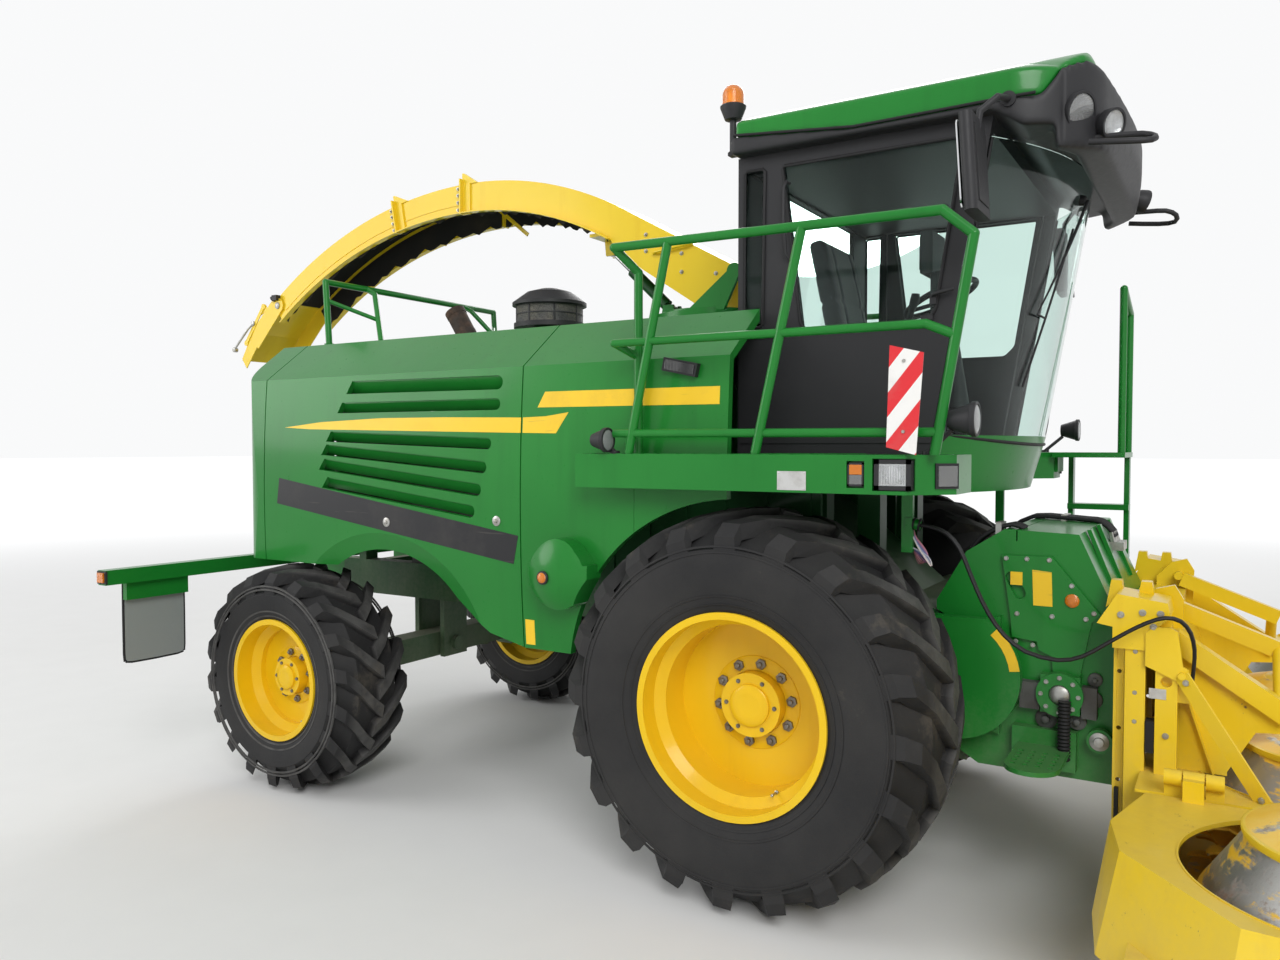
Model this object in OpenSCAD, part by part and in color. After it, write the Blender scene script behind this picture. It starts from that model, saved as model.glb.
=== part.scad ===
// Self-propelled forage harvester with a four-rotor maize header.
// Millimetres. X points forward, Y to the left and Z up. The front axle line is X = 0 of the
// working frame, and every sub-part is shifted so that the whole machine is centred on the origin.

/* [Wheels] */
// Distance between the two axles
wheelbase = 3100; // [3000:10:3200]
// Distance from the centre line to a tyre's outer face
track_half = 1500; // [1480:5:1540]
// Radius of a front tyre over its lugs
front_tyre_r = 925; // [900:5:950]
// Width of a front tyre
front_tyre_w = 750; // [650:10:780]
// Radius of a front rim at the tyre's bead
front_rim_r = 452; // [430:2:480]
// Radius of a rear tyre over its lugs
rear_tyre_r = 700; // [660:5:710]
// Width of a rear tyre
rear_tyre_w = 525; // [450:5:540]
// Radius of a rear rim at the tyre's bead
rear_rim_r = 356; // [330:2:380]
// Height of the tread lugs
lug_h = 50; // [30:5:60]
// Lugs on each half of a front tyre
front_lugs = 20; // [16:1:22]
// Lugs on each half of a rear tyre
rear_lugs = 18; // [14:1:20]
// Thickness of a tyre's wall
tyre_wall = 45; // [30:5:60]
// Thickness of a rim's sheet
rim_t = 14; // [8:1:20]

/* [Axles] */
// Radius of the wheel spindles
spindle_r = 60; // [50:1:70]
// Running gap of a spindle or pin in its bore
pin_gap = 0.05; // [0.02:0.01:0.1]
// Distance of the steering pins from the centre line
kingpin_y = 800; // [780:5:820]
// Radius of the steering pins
kingpin_r = 34; // [28:1:40]
// Length of the steering arms
steer_arm = 280; // [240:5:300]

/* [Frame] */
// Distance of a frame rail's outer face from the centre line
rail_y = 400; // [380:5:410]
// Width of a frame rail
rail_w = 110; // [80:5:140]
// Height of a frame rail's lower edge
rail_z = 1080; // [1070:5:1120]
// Depth of a frame rail
rail_h = 240; // [180:10:300]

/* [Body] */
// Distance from the centre line to the body's side
body_side = 1350; // [1320:5:1370]
// Distance from the centre line to the edge of the top deck
shoulder_y = 1000; // [960:5:1040]
// Height where the side turns into the shoulder
crease_z = 2530; // [2480:5:2560]
// Height of the deck's edge
deck_z = 2800; // [2760:5:2840]
// Height of the deck at its middle
deck_mid_z = 2870; // [2840:5:2890]
// Lowest edge of the side panels
body_low = 1078; // [1060:2:1100]
// Thickness of the side panels and doors
panel_t = 40; // [30:1:50]
// Rear face of the body
body_rear = 3560; // [3540:5:3600]
// Seam between the side door and the front side panel
seam_front = 1255; // [1240:5:1280]
// Seam between the side door and the rear panel
seam_rear = 3330; // [3300:5:3360]
// Gap along the seams of the body
seam = 8; // [6:1:12]
// Height of the body's edge above the rear wheels
arch_rear_z = 1420; // [1415:1:1440]

/* [Cab] */
// Distance from the centre line to the cab's side
cab_side = 920; // [900:5:940]
// Rear face of the cab, behind the front axle
cab_rear = 215; // [210:5:240]
// Height of the cab's floor
cab_floor = 2130; // [2120:5:2150]
// Height of the cab's side walls
cab_top = 3560; // [3520:10:3600]
// Windscreen's foot at the side, ahead of the front axle
screen_foot = 760; // [740:5:780]
// Forward bulge of the windscreen at the middle
screen_bulge = 290; // [260:5:310]
// Forward lean of the windscreen
screen_lean = 9.5; // [8:0.5:11]
// Thickness of the cab's doors and walls
cab_wall = 50; // [40:1:60]
// Thickness of the glass
glass_t = 8; // [6:1:12]
// Front edge of the roof, ahead of the front axle
roof_front = 1490; // [1460:5:1500]

/* [Spout] */
// Centre of the spout's turning ring, behind the front axle
turret_x = 850; // [830:5:870]
// Radius of the turning ring
turret_r = 330; // [300:5:350]
// Height of the spout's lift pin
spout_pin_z = 3150; // [3130:5:3170]
// Lift pin ahead of the ring's centre
spout_pin_fwd = 280; // [260:5:290]
// Half width of the spout
spout_half = 220; // [180:5:250]
// Depth of the spout's side walls
spout_depth = 205; // [180:5:240]
// Top of the spout's arc, behind the front axle
apex_x = 2650; // [2600:10:2700]
// Height of the top of the spout's arc
apex_z = 3943; // [3900:1:3960]
// Radius of the arc behind the top
back_arc_r = 3450; // [3300:10:3600]
// Angle that the rear arc spans
back_arc_deg = 36; // [34:1:38]
// Radius of the arc ahead of the top
front_arc_r = 2700; // [2600:10:2800]
// Angle that the front arc spans
front_arc_deg = 29; // [28:1:31]
// Thickness of the spout's sheet
spout_t = 8; // [6:1:12]

/* [Header] */
// Header lift pin, ahead of the front axle
lift_x = 550; // [540:5:560]
// Height of the header lift pin
lift_z = 1050; // [1040:5:1060]
// Rotor centres, ahead of the front axle
rotor_x = 2300; // [2280:5:2320]
// Distance between neighbouring rotors
rotor_pitch = 1120; // [1120:5:1150]
// Radius of a rotor over its teeth
rotor_r = 535; // [520:5:540]
// Height of the knife discs
knife_z = 300; // [290:5:320]
// Height of the header's cowl
cowl_z = 800; // [780:5:820]
// Thickness of the header's sheets
sheet_t = 12; // [8:1:16]
// Tip of the crop dividers, ahead of the front axle
divider_tip = 3550; // [3450:10:3600]

/* [Hidden] */
$fn = 64;
fine = 240;
green = "forestgreen";
dark_green = "darkgreen";
yellow = "gold";
black = "dimgray";
tyre_black = "#2b2b2b";
clear = [0.6, 0.8, 0.8, 0.4];
steel = "silver";
rust = "saddlebrown";

rear_x = -wheelbase;
flap_len = 640;
flap_deg = 52;
back_end_x = -apex_x - back_arc_r * sin(back_arc_deg);
back_end_z = apex_z - back_arc_r * (1 - cos(back_arc_deg));
flap_tip_x = back_end_x - flap_len * cos(flap_deg);
centre_x = (divider_tip + flap_tip_x) / 2;

// Shared shapes

module placed(paint) translate([-centre_x, 0, 0]) color(paint) children();

module both() {
    children();
    mirror([0, 1, 0]) children();
}

module right_side() mirror([0, 1, 0]) children();

// A flat shape in X and Z, as thick as y0 to y1
module along_y(y0, y1) translate([0, y1, 0]) rotate([90, 0, 0]) linear_extrude(y1 - y0)
    children();

// A flat shape in Y and Z, as long as x0 to x1
module along_x(x0, x1) translate([x0, 0, 0]) rotate([90, 0, 90]) linear_extrude(x1 - x0)
    children();

module box(low, high) translate(low) cube(high - low);

module rod(a, b, r) {
    v = b - a;
    translate(a) rotate([0, acos(v[2] / norm(v)), atan2(v[1], v[0])]) cylinder(h = norm(v), r = r);
}

// A straight bar of w by t, its side t level
module bar(a, b, w, t) {
    v = b - a;
    translate(a) rotate([0, acos(v[2] / norm(v)), atan2(v[1], v[0])]) box([-w / 2, -t / 2, 0], [w / 2, t / 2, norm(v)]);
}

// A bent tube: straight runs with round elbows
module tube_run(points, r) for (i = [0 : len(points) - 2]) {
    rod(points[i], points[i + 1], r);
    if (i > 0) translate(points[i]) sphere(r = r * 1.02);
}

module axle_y(x, z, r, y0, y1) translate([x, y1, z]) rotate([90, 0, 0]) cylinder(h = y1 - y0, r = r);

// Wheels. A wheel's own axis is Y, its outer face looks to +Y and its middle is the origin.

// Columns: tyre radius, tyre width, rim radius, disc set back from the rim's lip, hub radius, lugs
front_kind = [front_tyre_r, front_tyre_w, front_rim_r, 330, 150, front_lugs];
rear_kind = [rear_tyre_r, rear_tyre_w, rear_rim_r, 190, 115, rear_lugs];
lip = 18;
disc_t = 24;
hub_len = 70;
function side_r(kind) = kind[1] * 0.7;
// Where the sidewall lies at one radius, measured from the wheel's middle
function side_at(kind, r) = kind[1] / 2 - side_r(kind)
    + sqrt(pow(side_r(kind), 2) - pow((kind[0] + kind[2]) / 2 - r, 2));
function rim_half(kind) = side_at(kind, kind[2] + lip) + 0.3;
function disc_y(kind) = rim_half(kind) + rim_t - kind[3];
function wheel_y(kind) = track_half - kind[1] / 2;

// A carcass in section: a level crown, sloped shoulders and round sidewalls, its whole skin sunk by one depth
crown_share = 0.27;
shoulder_drop = 125;
module tyre_section(kind, skin) intersection() {
    half = kind[1] / 2 - skin;
    crown = kind[0] - lug_h - skin;
    polygon([[kind[2], -half], [crown - shoulder_drop, -half], [crown, -crown_share * kind[1]],
        [crown, crown_share * kind[1]], [crown - shoulder_drop, half], [kind[2], half]]);
    translate([(kind[0] + kind[2]) / 2, half - side_r(kind)]) circle(r = side_r(kind), $fn = fine);
    translate([(kind[0] + kind[2]) / 2, side_r(kind) - half]) circle(r = side_r(kind), $fn = fine);
}

function crown_at(kind, y) = kind[0] - 1.6 * kind[1] + sqrt(pow(1.6 * kind[1], 2) - y * y);

// A lug's stations from the nose to the sidewall. Columns: distance from the middle as a share of the
// half width, lead around the tyre as a share of the pitch, drop below the crown in lug heights,
// half width along the tread in shares of the pitch, depth of the foot below the tip in lug heights
lug_stations = [[-0.08, 1.15, 0, 0.16, 1.25], [0.25, 0.85, 0, 0.155, 1.25], [0.6, 0.42, 0, 0.15, 1.3],
    [0.9, 0.08, 0.1, 0.16, 1.45], [0.985, 0, 1.1, 0.19, 1.75]];
lug_draft = 1.25;
function lug_ring(kind, s) = let (pitch = 360 / kind[5], y = s[0] * kind[1] / 2, tip = crown_at(kind, y) - s[2] * lug_h,
    foot = tip - s[4] * lug_h)
    [for (c = [[foot, -lug_draft], [foot, lug_draft], [tip, 1], [tip, -1]]) let (a = (s[1] + c[1] * s[3]) * pitch)
        [c[0] * sin(a), y, c[0] * cos(a)]];
module lug(kind) {
    n = len(lug_stations);
    polyhedron(points = [for (s = lug_stations) each lug_ring(kind, s)],
        faces = concat([[0, 2, 1], [0, 3, 2], [4 * n - 4, 4 * n - 3, 4 * n - 2], [4 * n - 4, 4 * n - 2, 4 * n - 1]],
            [for (i = [0 : n - 2], j = [0 : 3]) [4 * i + j, 4 * i + (j + 1) % 4, 4 * i + 4 + j]],
            [for (i = [0 : n - 2], j = [0 : 3]) [4 * i + (j + 1) % 4, 4 * i + 4 + (j + 1) % 4, 4 * i + 4 + j]]));
}

module tyre(kind) {
    rotate([-90, 0, 0]) rotate_extrude($fn = fine) difference() {
        tyre_section(kind, 0);
        translate([-1, 0]) tyre_section(kind, tyre_wall);
    }
    for (i = [0 : kind[5] - 1]) {
        rotate([0, i * 360 / kind[5], 0]) lug(kind);
        rotate([0, (i + 0.5) * 360 / kind[5], 0]) mirror([0, 1, 0]) lug(kind);
    }
}

module rim(kind) rotate([-90, 0, 0]) {
    r = kind[2];
    half = rim_half(kind);
    seat = 90;
    step = 130;
    well = 42;
    rotate_extrude($fn = fine) polygon([[r + lip, half + rim_t], [r + lip, half], [r - 0.3, half], [r - 0.3, half - seat],
        [r - well, half - step], [r - well, step - half], [r - 0.3, seat - half], [r - 0.3, -half],
        [r + lip, -half], [r + lip, -half - rim_t], [r - rim_t, -half - rim_t],
        [r - rim_t, seat - half], [r - well - rim_t, step - half], [r - well - rim_t, half - step],
        [r - rim_t, half - seat], [r - rim_t, half + rim_t]]);
    translate([0, 0, disc_y(kind) - disc_t / 2]) difference() {
        union() {
            cylinder(h = disc_t, r = r - well - rim_t / 2, $fn = fine);
            cylinder(h = hub_len + disc_t, r = kind[4], $fn = fine);
        }
        translate([0, 0, -1]) cylinder(h = hub_len + 1, r = spindle_r + pin_gap, $fn = fine);
    }
}

module at_wheel(kind, x) translate([x, wheel_y(kind), kind[0]]) children();

// The carrying drum behind a wheel's disc, with the spindle that runs in its hub
module hub_drive(kind, x, from_y, r) {
    disc_back = wheel_y(kind) + disc_y(kind) - disc_t / 2;
    axle_y(x, kind[0], r, from_y, disc_back - 6);
    axle_y(x, kind[0], spindle_r, from_y, disc_back + hub_len - 8);
}

// Chassis

beam_half = 110;
module front_axle() placed(dark_green) {
    box([-beam_half, -560, front_tyre_r - beam_half], [beam_half, 560, front_tyre_r + beam_half]);
    both() {
        axle_y(0, front_tyre_r, 215, 540, 700);
        for (y = [lift_base[1] - 54, lift_base[1] + 34]) along_y(y, y + 20)
            polygon([[20, 820], [beam_half - 1, 820], [lift_base[0] + 38, lift_base[2]], [lift_base[0] + 25, lift_base[2] - 32],
                [lift_base[0] - 25, lift_base[2] - 32], [lift_base[0] - 38, lift_base[2]]]);
        axle_y(lift_base[0], lift_base[2], 20, lift_base[1] - 60, lift_base[1] + 60);
        hub_drive(front_kind, 0, 540, 185);
    }
}

hitch_pin_x = -3790;
hitch_pin_r = 16;
hitch_z = rail_z + 40;
trunnion_r = 50;
member_gap = 0.3;
rail_in = rail_y - rail_w;
cross_x = [-2250, -1500, -700];
saddle_half = 90;
hanger_x = 125;
module main_frame() placed(dark_green) {
    both() difference() {
        box([-3680, rail_in, rail_z], [420, rail_y, rail_z + rail_h]);
        axle_y(lift_x, lift_z, drum_r + 0.3, rail_in - 1, rail_y + 1);
    }
    both() {
        // cab uprights, saddles on the front axle and posts behind the rear panel
        for (x = [-60, 230]) box([x, rail_in, rail_z + rail_h + member_gap], [x + 120, rail_y, cab_floor - 120]);
        box([-saddle_half, rail_in, front_tyre_r + beam_half], [saddle_half, rail_y, rail_z - member_gap]);
        box([panel_t - body_rear + member_gap, rail_in, rail_z + rail_h + member_gap],
            [panel_t - body_rear + 70, rail_y, grille_z[0] - 20]);
    }
    // outriggers that carry the front side panels
    both() along_x(-1210, -1150) intersection() {
        translate([rail_y + member_gap, body_low + 20]) square([1000, 60]);
        body_outline(panel_t + member_gap);
    }
    for (x = cross_x) cross_member(x);
    difference() {
        for (s = [-1, 1]) translate([rear_x + s * hanger_x, 0, 0]) {
            box([-20, -120, rear_tyre_r - 90], [20, 120, rail_z + 60]);
            box([-20, member_gap - rail_in, rail_z + 30], [20, rail_in - member_gap, rail_z + 200]);
        }
        rod([rear_x - 300, 0, rear_tyre_r], [rear_x + 300, 0, rear_tyre_r], trunnion_r + 0.3);
    }
    difference() {
        union() {
            cross_member(-3680);
            for (z = [0, 90]) box([-3860, -80, hitch_z + z], [-3600, 80, hitch_z + z + 25]);
        }
        translate([hitch_pin_x, 0, hitch_z - 50]) cylinder(h = 250, r = hitch_pin_r);
    }
}

module cross_member(x) box([x, member_gap - rail_in, rail_z + 30], [x + 90, rail_in - member_gap, rail_z + 200]);

boss_half = 110;
arm_t = 35;
module rear_axle() placed(dark_green) {
    difference() {
        union() {
            box([rear_x - 85, 90 - kingpin_y, rear_tyre_r - 85], [rear_x + 85, kingpin_y - 90, rear_tyre_r + 85]);
            both() {
                translate([rear_x, kingpin_y, rear_tyre_r - boss_half]) cylinder(h = 2 * boss_half, r = 75);
                box([rear_x - 60, kingpin_y - 120, rear_tyre_r - 80], [rear_x + 60, kingpin_y - 40, rear_tyre_r + 80]);
            }
        }
        both() translate([rear_x, kingpin_y, rear_tyre_r - boss_half - 1])
            cylinder(h = 2 * boss_half + 2, r = kingpin_r + pin_gap);
    }
    rod([rear_x - 180, 0, rear_tyre_r], [rear_x + 180, 0, rear_tyre_r], trunnion_r);
}

module knuckle() {
    top = boss_half + 0.5;
    translate([rear_x, kingpin_y, rear_tyre_r]) {
        translate([0, 0, -top - arm_t]) cylinder(h = 2 * (top + arm_t), r = kingpin_r);
        for (z = [-top - arm_t, top]) box([-75, -75, z], [75, 110, z + arm_t]);
        box([-75, 80, -top - arm_t], [75, 110, top + arm_t]);
        box([-steer_arm, -35, -top - arm_t], [0, 35, -top]);
        translate([-steer_arm, 0, -top - arm_t]) cylinder(h = arm_t, r = 45);
    }
    hub_drive(rear_kind, rear_x, kingpin_y + 100, 170);
}

tie_z = rear_tyre_r - boss_half - 0.5 - arm_t - 0.3;
module tie_rod() placed(dark_green) {
    rod([rear_x - steer_arm, -kingpin_y, tie_z - 25], [rear_x - steer_arm, kingpin_y, tie_z - 25], 22);
    both() translate([rear_x - steer_arm, kingpin_y, tie_z - 50]) cylinder(h = 50, r = 40);
}

module engine_block() placed("dimgray")
    box([-3000, -390, rail_z + rail_h], [-1750, 390, 2350]);

// Body

side_arc = 9000;
module body_outline(t = 0) intersection() {
    polygon([[-1, body_low - 1], [body_side - t, body_low - 1], [body_side - t, crease_z - t * 0.4],
        [shoulder_y - t * 0.4, deck_z - t * 1.2], [-1, deck_mid_z - t]]);
    translate([body_side - t - side_arc, (body_low + crease_z) / 2]) circle(r = side_arc, $fn = 720);
}

// The side wall and shoulder of the body on the left, between two stations
module side_shell(x0, x1) along_x(x0, x1) difference() {
    body_outline();
    body_outline(panel_t);
    translate([-2, 0]) square([shoulder_y + 2, 4000]);
}

// Vent slots of a side door. Columns: rear end X, rear end Z, front end X, front end Z, height
slots = [[-2590, 2484, -1393, 2475, 75], [-2661, 2365, -1405, 2360, 62], [-2752, 2196, -1460, 2150, 62],
    [-2792, 2118, -1491, 2022, 66], [-2811, 2031, -1528, 1899, 70], [-2782, 1922, -1574, 1781, 70]];

// A slot with a slanted rear end and a round front end, cut into the outer face
module slot(s) {
    length = norm([s[2] - s[0], s[3] - s[1]]);
    turn = atan2(s[3] - s[1], s[2] - s[0]);
    h = s[4];
    translate([s[0], 0, s[1]]) rotate([0, -turn, 0]) along_y(body_side - 100, body_side + 20) {
        polygon([[0, -h / 2], [length - h / 2, -h / 2], [length - h / 2, h / 2], [h * 0.6, h / 2]]);
        translate([length - h / 2, 0]) circle(r = h / 2);
    }
}

module arch_cut() {
    translate([-2300, body_side + 1, 700]) rotate([90, 0, 0]) cylinder(h = 400, r = 812);
    along_y(900, body_side + 1) polygon([[-4000, 500], [-4000, arch_rear_z], [-2300, arch_rear_z],
        [-1900, 1400], [-1700, 1262], [-1487, 1132], [1 - seam_front, body_low], [-1200, 500]]);
}

// The band above the arch that slopes in towards its edge
module arch_bevel() translate([-2300, body_side + 1, 700]) rotate([90, 0, 0])
    cylinder(h = 60, r1 = 940, r2 = 800);

// The blade in a slot: from its upper edge it slopes down and inwards
function side_face(z) = body_side - side_arc + sqrt(pow(side_arc, 2) - pow(z - (body_low + crease_z) / 2, 2));
module blade(s) {
    length = norm([s[2] - s[0], s[3] - s[1]]);
    turn = atan2(s[3] - s[1], s[2] - s[0]);
    h = s[4];
    face = side_face((s[1] + s[3]) / 2);
    translate([s[0], 0, s[1]]) rotate([0, -turn, 0]) along_x(-10, length)
        polygon([[face - 14, h / 2 + 6], [face - 14, h / 2 - 6], [face - 62, -h / 2 + 4], [face - 70, -h / 2 + 4],
            [face - 34, h / 2 + 6]]);
}

// Hinge of the side doors, along the edge of the deck
hinge_y = shoulder_y - 10;
hinge_z = deck_z - 12;
hinge_r = 10;
hinge_pin_r = 5;
hinge_x = [-2950, -1700];
module door() {
    difference() {
        union() {
            difference() {
                side_shell(-seam_rear + seam, -seam_front - seam);
                arch_cut();
                arch_bevel();
                for (s = slots) slot(s);
            }
            for (s = slots) blade(s);
            for (x = hinge_x) {
                rod([x + 1, hinge_y, hinge_z], [x + 60, hinge_y, hinge_z], hinge_r);
                box([x + 1, hinge_y, hinge_z - 8], [x + 60, shoulder_y + 8, hinge_z + 2]);
            }
        }
        for (x = hinge_x) rod([x - 70, hinge_y, hinge_z], [x + 70, hinge_y, hinge_z], hinge_pin_r + pin_gap);
    }
}

module hood_door() placed(green) door();

module front_arch(gap) axle_y(0, front_tyre_r, front_tyre_r + gap, 600, 1600);
module side_panel() difference() {
    side_shell(-seam_front, -60);
    front_arch(45);
    box([-560, 1200, 0], [-558, 1400, 2090]);
}

// The bulged cover low on the right side panel
pod_x = [-1135, -775];
module pod() difference() {
    mid = (pod_x[0] + pod_x[1]) / 2;
    half = (pod_x[1] - pod_x[0]) / 2;
    intersection() {
        along_y(body_side - 30, 1495) union() {
            translate([mid, 1535]) circle(r = half - 40, $fn = 96);
            translate([pod_x[0], 1420]) square([2 * half, 130]);
            translate([mid, 1490]) circle(r = half - 10, $fn = 96);
        }
        translate([mid, 1495 - 330, 1500]) sphere(r = 330, $fn = 96);
    }
    front_arch(30);
}

module side_panels() placed(green) {
    side_panel();
    right_side() {
        side_panel();
        pod();
    }
}

// Rear panel with its radiator grille
rear_round = 180;
grille_half = 620;
grille_z = [1560, 2420];
grille_bars = 14;
module rear_corner_cut() translate([0, 0, arch_rear_z]) linear_extrude(2000) {
    translate([-body_rear, -1]) square([body_rear, body_side - rear_round + 1]);
    translate([rear_round - body_rear, -1]) square([body_rear, body_side + 1]);
    translate([rear_round - body_rear, body_side - rear_round]) circle(r = rear_round);
}

module rear_half() difference() {
    intersection() {
        along_x(-body_rear, -seam_rear) body_outline();
        rear_corner_cut();
    }
    intersection() {
        along_x(panel_t - body_rear, 0) body_outline(panel_t);
        translate([panel_t, -panel_t, -panel_t]) rear_corner_cut();
    }
    box([-body_rear - 1, -1, grille_z[0]], [-body_rear + 100, grille_half, grille_z[1]]);
}

module rear_panel() placed(green) {
    both() rear_half();
    pitch = (grille_z[1] - grille_z[0]) / grille_bars;
    for (i = [0 : grille_bars - 1]) translate([0, 0, grille_z[0] + (i + 0.5) * pitch])
        along_y(-grille_half - 5, grille_half + 5)
            polygon([[-body_rear, -8], [-body_rear + 30, 12], [-body_rear + 30, 20], [-body_rear, 0]]);
}

// Deck between the doors, with the wells of the turning ring, the intake and the exhaust
intake_x = -1970;
intake_y = -150;
exhaust_x = -3100;
exhaust_y = 300;
deck_in = shoulder_y - 40;
module hood_deck() placed(green) {
    both() for (x = hinge_x) {
        rod([x - 60, hinge_y, hinge_z], [x, hinge_y, hinge_z], hinge_r);
        rod([x - 60, hinge_y, hinge_z], [x + 58, hinge_y, hinge_z], hinge_pin_r);
        box([x - 60, deck_in - 5, hinge_z - 8], [x, hinge_y, hinge_z + 2]);
    }
    deck_plate();
}

module deck_plate() difference() {
    union() {
        along_x(seam - seam_rear, -seam_front - seam)
            polygon([[-deck_in, deck_z - 50], [deck_in, deck_z - 50], [deck_in, deck_z],
                [0, deck_mid_z], [-deck_in, deck_z]]);
        along_x(-seam_front - seam, -250)
            polygon([[-deck_in, deck_z - 50], [deck_in, deck_z - 50], [deck_in, deck_z - 10], [-deck_in, deck_z - 10]]);
    }
    translate([-turret_x, 0, 0]) cylinder(h = 4000, r = turret_r + 6);
    translate([intake_x, intake_y, 0]) cylinder(h = 4000, r = 100.3);
    translate([exhaust_x, exhaust_y, 0]) cylinder(h = 4000, r = 75.3);
}

module air_intake() placed(black) translate([intake_x, intake_y, 0]) {
    translate([0, 0, 2350.3]) cylinder(h = 600, r = 100);
    translate([0, 0, 2915]) cylinder(h = 30, r = 235);
    translate([0, 0, 2940]) cylinder(h = 125, r = 215);
    translate([0, 0, 3060]) cylinder(h = 20, r = 245);
    translate([0, 0, 3080]) cylinder(h = 70, r1 = 245, r2 = 150);
    translate([0, 0, 3150]) cylinder(h = 25, r1 = 150, r2 = 60);
}

module exhaust() placed(rust) {
    translate([exhaust_x, exhaust_y, 2350.3]) cylinder(h = 650, r = 75);
    rod([exhaust_x, exhaust_y, 2990], [exhaust_x - 110, exhaust_y, 3160], 75);
    translate([exhaust_x, exhaust_y, 2995]) sphere(r = 76);
}

// Tube frame that the spout is carried over on the road
cradle_r = 21;
cradle_y = 860;
foot_r = 32;
function cradle_foot(y) = deck_z + (deck_mid_z - deck_z) * (1 - (y - foot_r) / deck_in) + 0.3;
module spout_cradle() placed("seagreen") {
    top = 3240;
    tube_run([[-3280, -cradle_y, cradle_foot(cradle_y) + 5], [-3310, -cradle_y, top], [-3310, cradle_y, top],
        [-3280, cradle_y, cradle_foot(cradle_y) + 5]], cradle_r);
    both() {
        tube_run([[-3310, 500, top], [-3230, 500, top - 40], [-2960, 700, cradle_foot(700) + 16]], cradle_r - 3);
        rod([-3310, cradle_y, top - 120], [-3095, 600, 3000], 14);
        for (p = [[-3280, cradle_y], [-2960, 700]]) translate([p[0], p[1], cradle_foot(p[1])]) cylinder(h = 16, r = foot_r);
    }
}

// Rear light arms with their reflector plates
arm_x = -3920;
arm_end = 2080;
module rear_light_arms() placed(green) {
    both() {
        box([arm_x, 300, 1300], [arm_x + 80, arm_end, 1390]);
        box([arm_x, 320, 1180], [-3680, 380, 1320]);
        box([arm_x, 1520, 1190], [arm_x + 40, 1930, 1310]);
    }
    box([arm_x, -310, 1300], [arm_x + 80, 310, 1390]);
}

module reflector_plates() placed("gray") both() intersection() {
    box([arm_x - 12, 1520, 790], [arm_x - 0.3, 1930, 1300]);
    translate([arm_x - 20, 0, 0]) rotate([0, 90, 0]) linear_extrude(30) {
        translate([-1400, 1520]) square([560, 410]);
        translate([-850, 1570]) square([60, 310]);
        for (y = [1570, 1880]) translate([-840, y]) circle(r = 50);
    }
}

// Platforms, railings and ladder
deck_low = 1940;
deck_high = 2100;
platform_in = cab_side + 12;
pod_front = 960;
module platform_shape() {
    difference() {
        union() {
            box([-800, track_half - 60, deck_low], [490, track_half, deck_high]);
            box([-800, body_side + 10, deck_high - 25], [-50, track_half - 50, deck_high]);
            box([-50, platform_in, deck_high - 25], [500, track_half - 50, deck_high]);
            translate([0, 0, deck_low]) linear_extrude(deck_high - deck_low)
                polygon([[488, platform_in], [488, track_half], [800, track_half], [pod_front, 1330], [pod_front, 1080], [820, platform_in]]);
        }
        box([560, track_half - 35, deck_low + 25], [635, track_half + 1, deck_high - 25]);
        box([668, track_half - 45, deck_low + 15], [832, track_half + 1, deck_high - 15]);
    }
    box([250, platform_in - 11.7, 2010], [330, platform_in + 200, deck_high - 25]);
    box([640, 975, 1660], [690, 1000, deck_low + 5]);
}

socket = [690, 985, 1790];
module platforms() placed(green) {
    both() platform_shape();
    right_side() {
        box([660, 960, 1765], [socket[0], 1010, 1815]);
        rod(socket - [10, 0, 0], socket + [30, 0, -6], 24);
    }
}

rail_r = 21;
railing_y = track_half - 25;
post_y = body_side + 24;
lean = 105;
module post_foot(x, y) translate([x, y, deck_high + 0.3]) cylinder(h = 12, r = 20);
module railing() {
    for (x = [-510, 140]) post_foot(x, railing_y);
    post_foot(905, railing_y - 20);
    tube_run([[-518, post_y, deck_high + 0.3], [-518, post_y, 2960], [-590, railing_y, 3068],
        [930, railing_y, 3050], [1050, railing_y, 2945], [905, railing_y - 20, deck_high + 6]], rail_r);
    tube_run([[-518, post_y, 2560], [-590, railing_y, 2620], [870, railing_y, 2615], [985, railing_y - 8, 2565]], rail_r * 0.9);
    rod([-590, railing_y, 2196], [915, railing_y - 18, 2190], rail_r * 0.9);
    for (x = [-510, 140]) rod([x, railing_y, deck_high + 6], [x + 2 * lean, railing_y, 3058], rail_r);
}

module short_railing() {
    post_foot(-190, railing_y);
    tube_run([[-518, post_y, deck_high + 0.3], [-518, post_y, 2960], [-590, railing_y, 3068],
        [-150, railing_y, 3062], [-190, railing_y, deck_high + 6]], rail_r);
    tube_run([[-518, post_y, 2560], [-590, railing_y, 2620], [-170, railing_y, 2616]], rail_r * 0.9);
}

module railings() placed("seagreen") {
    right_side() railing();
    short_railing();
}

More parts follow.
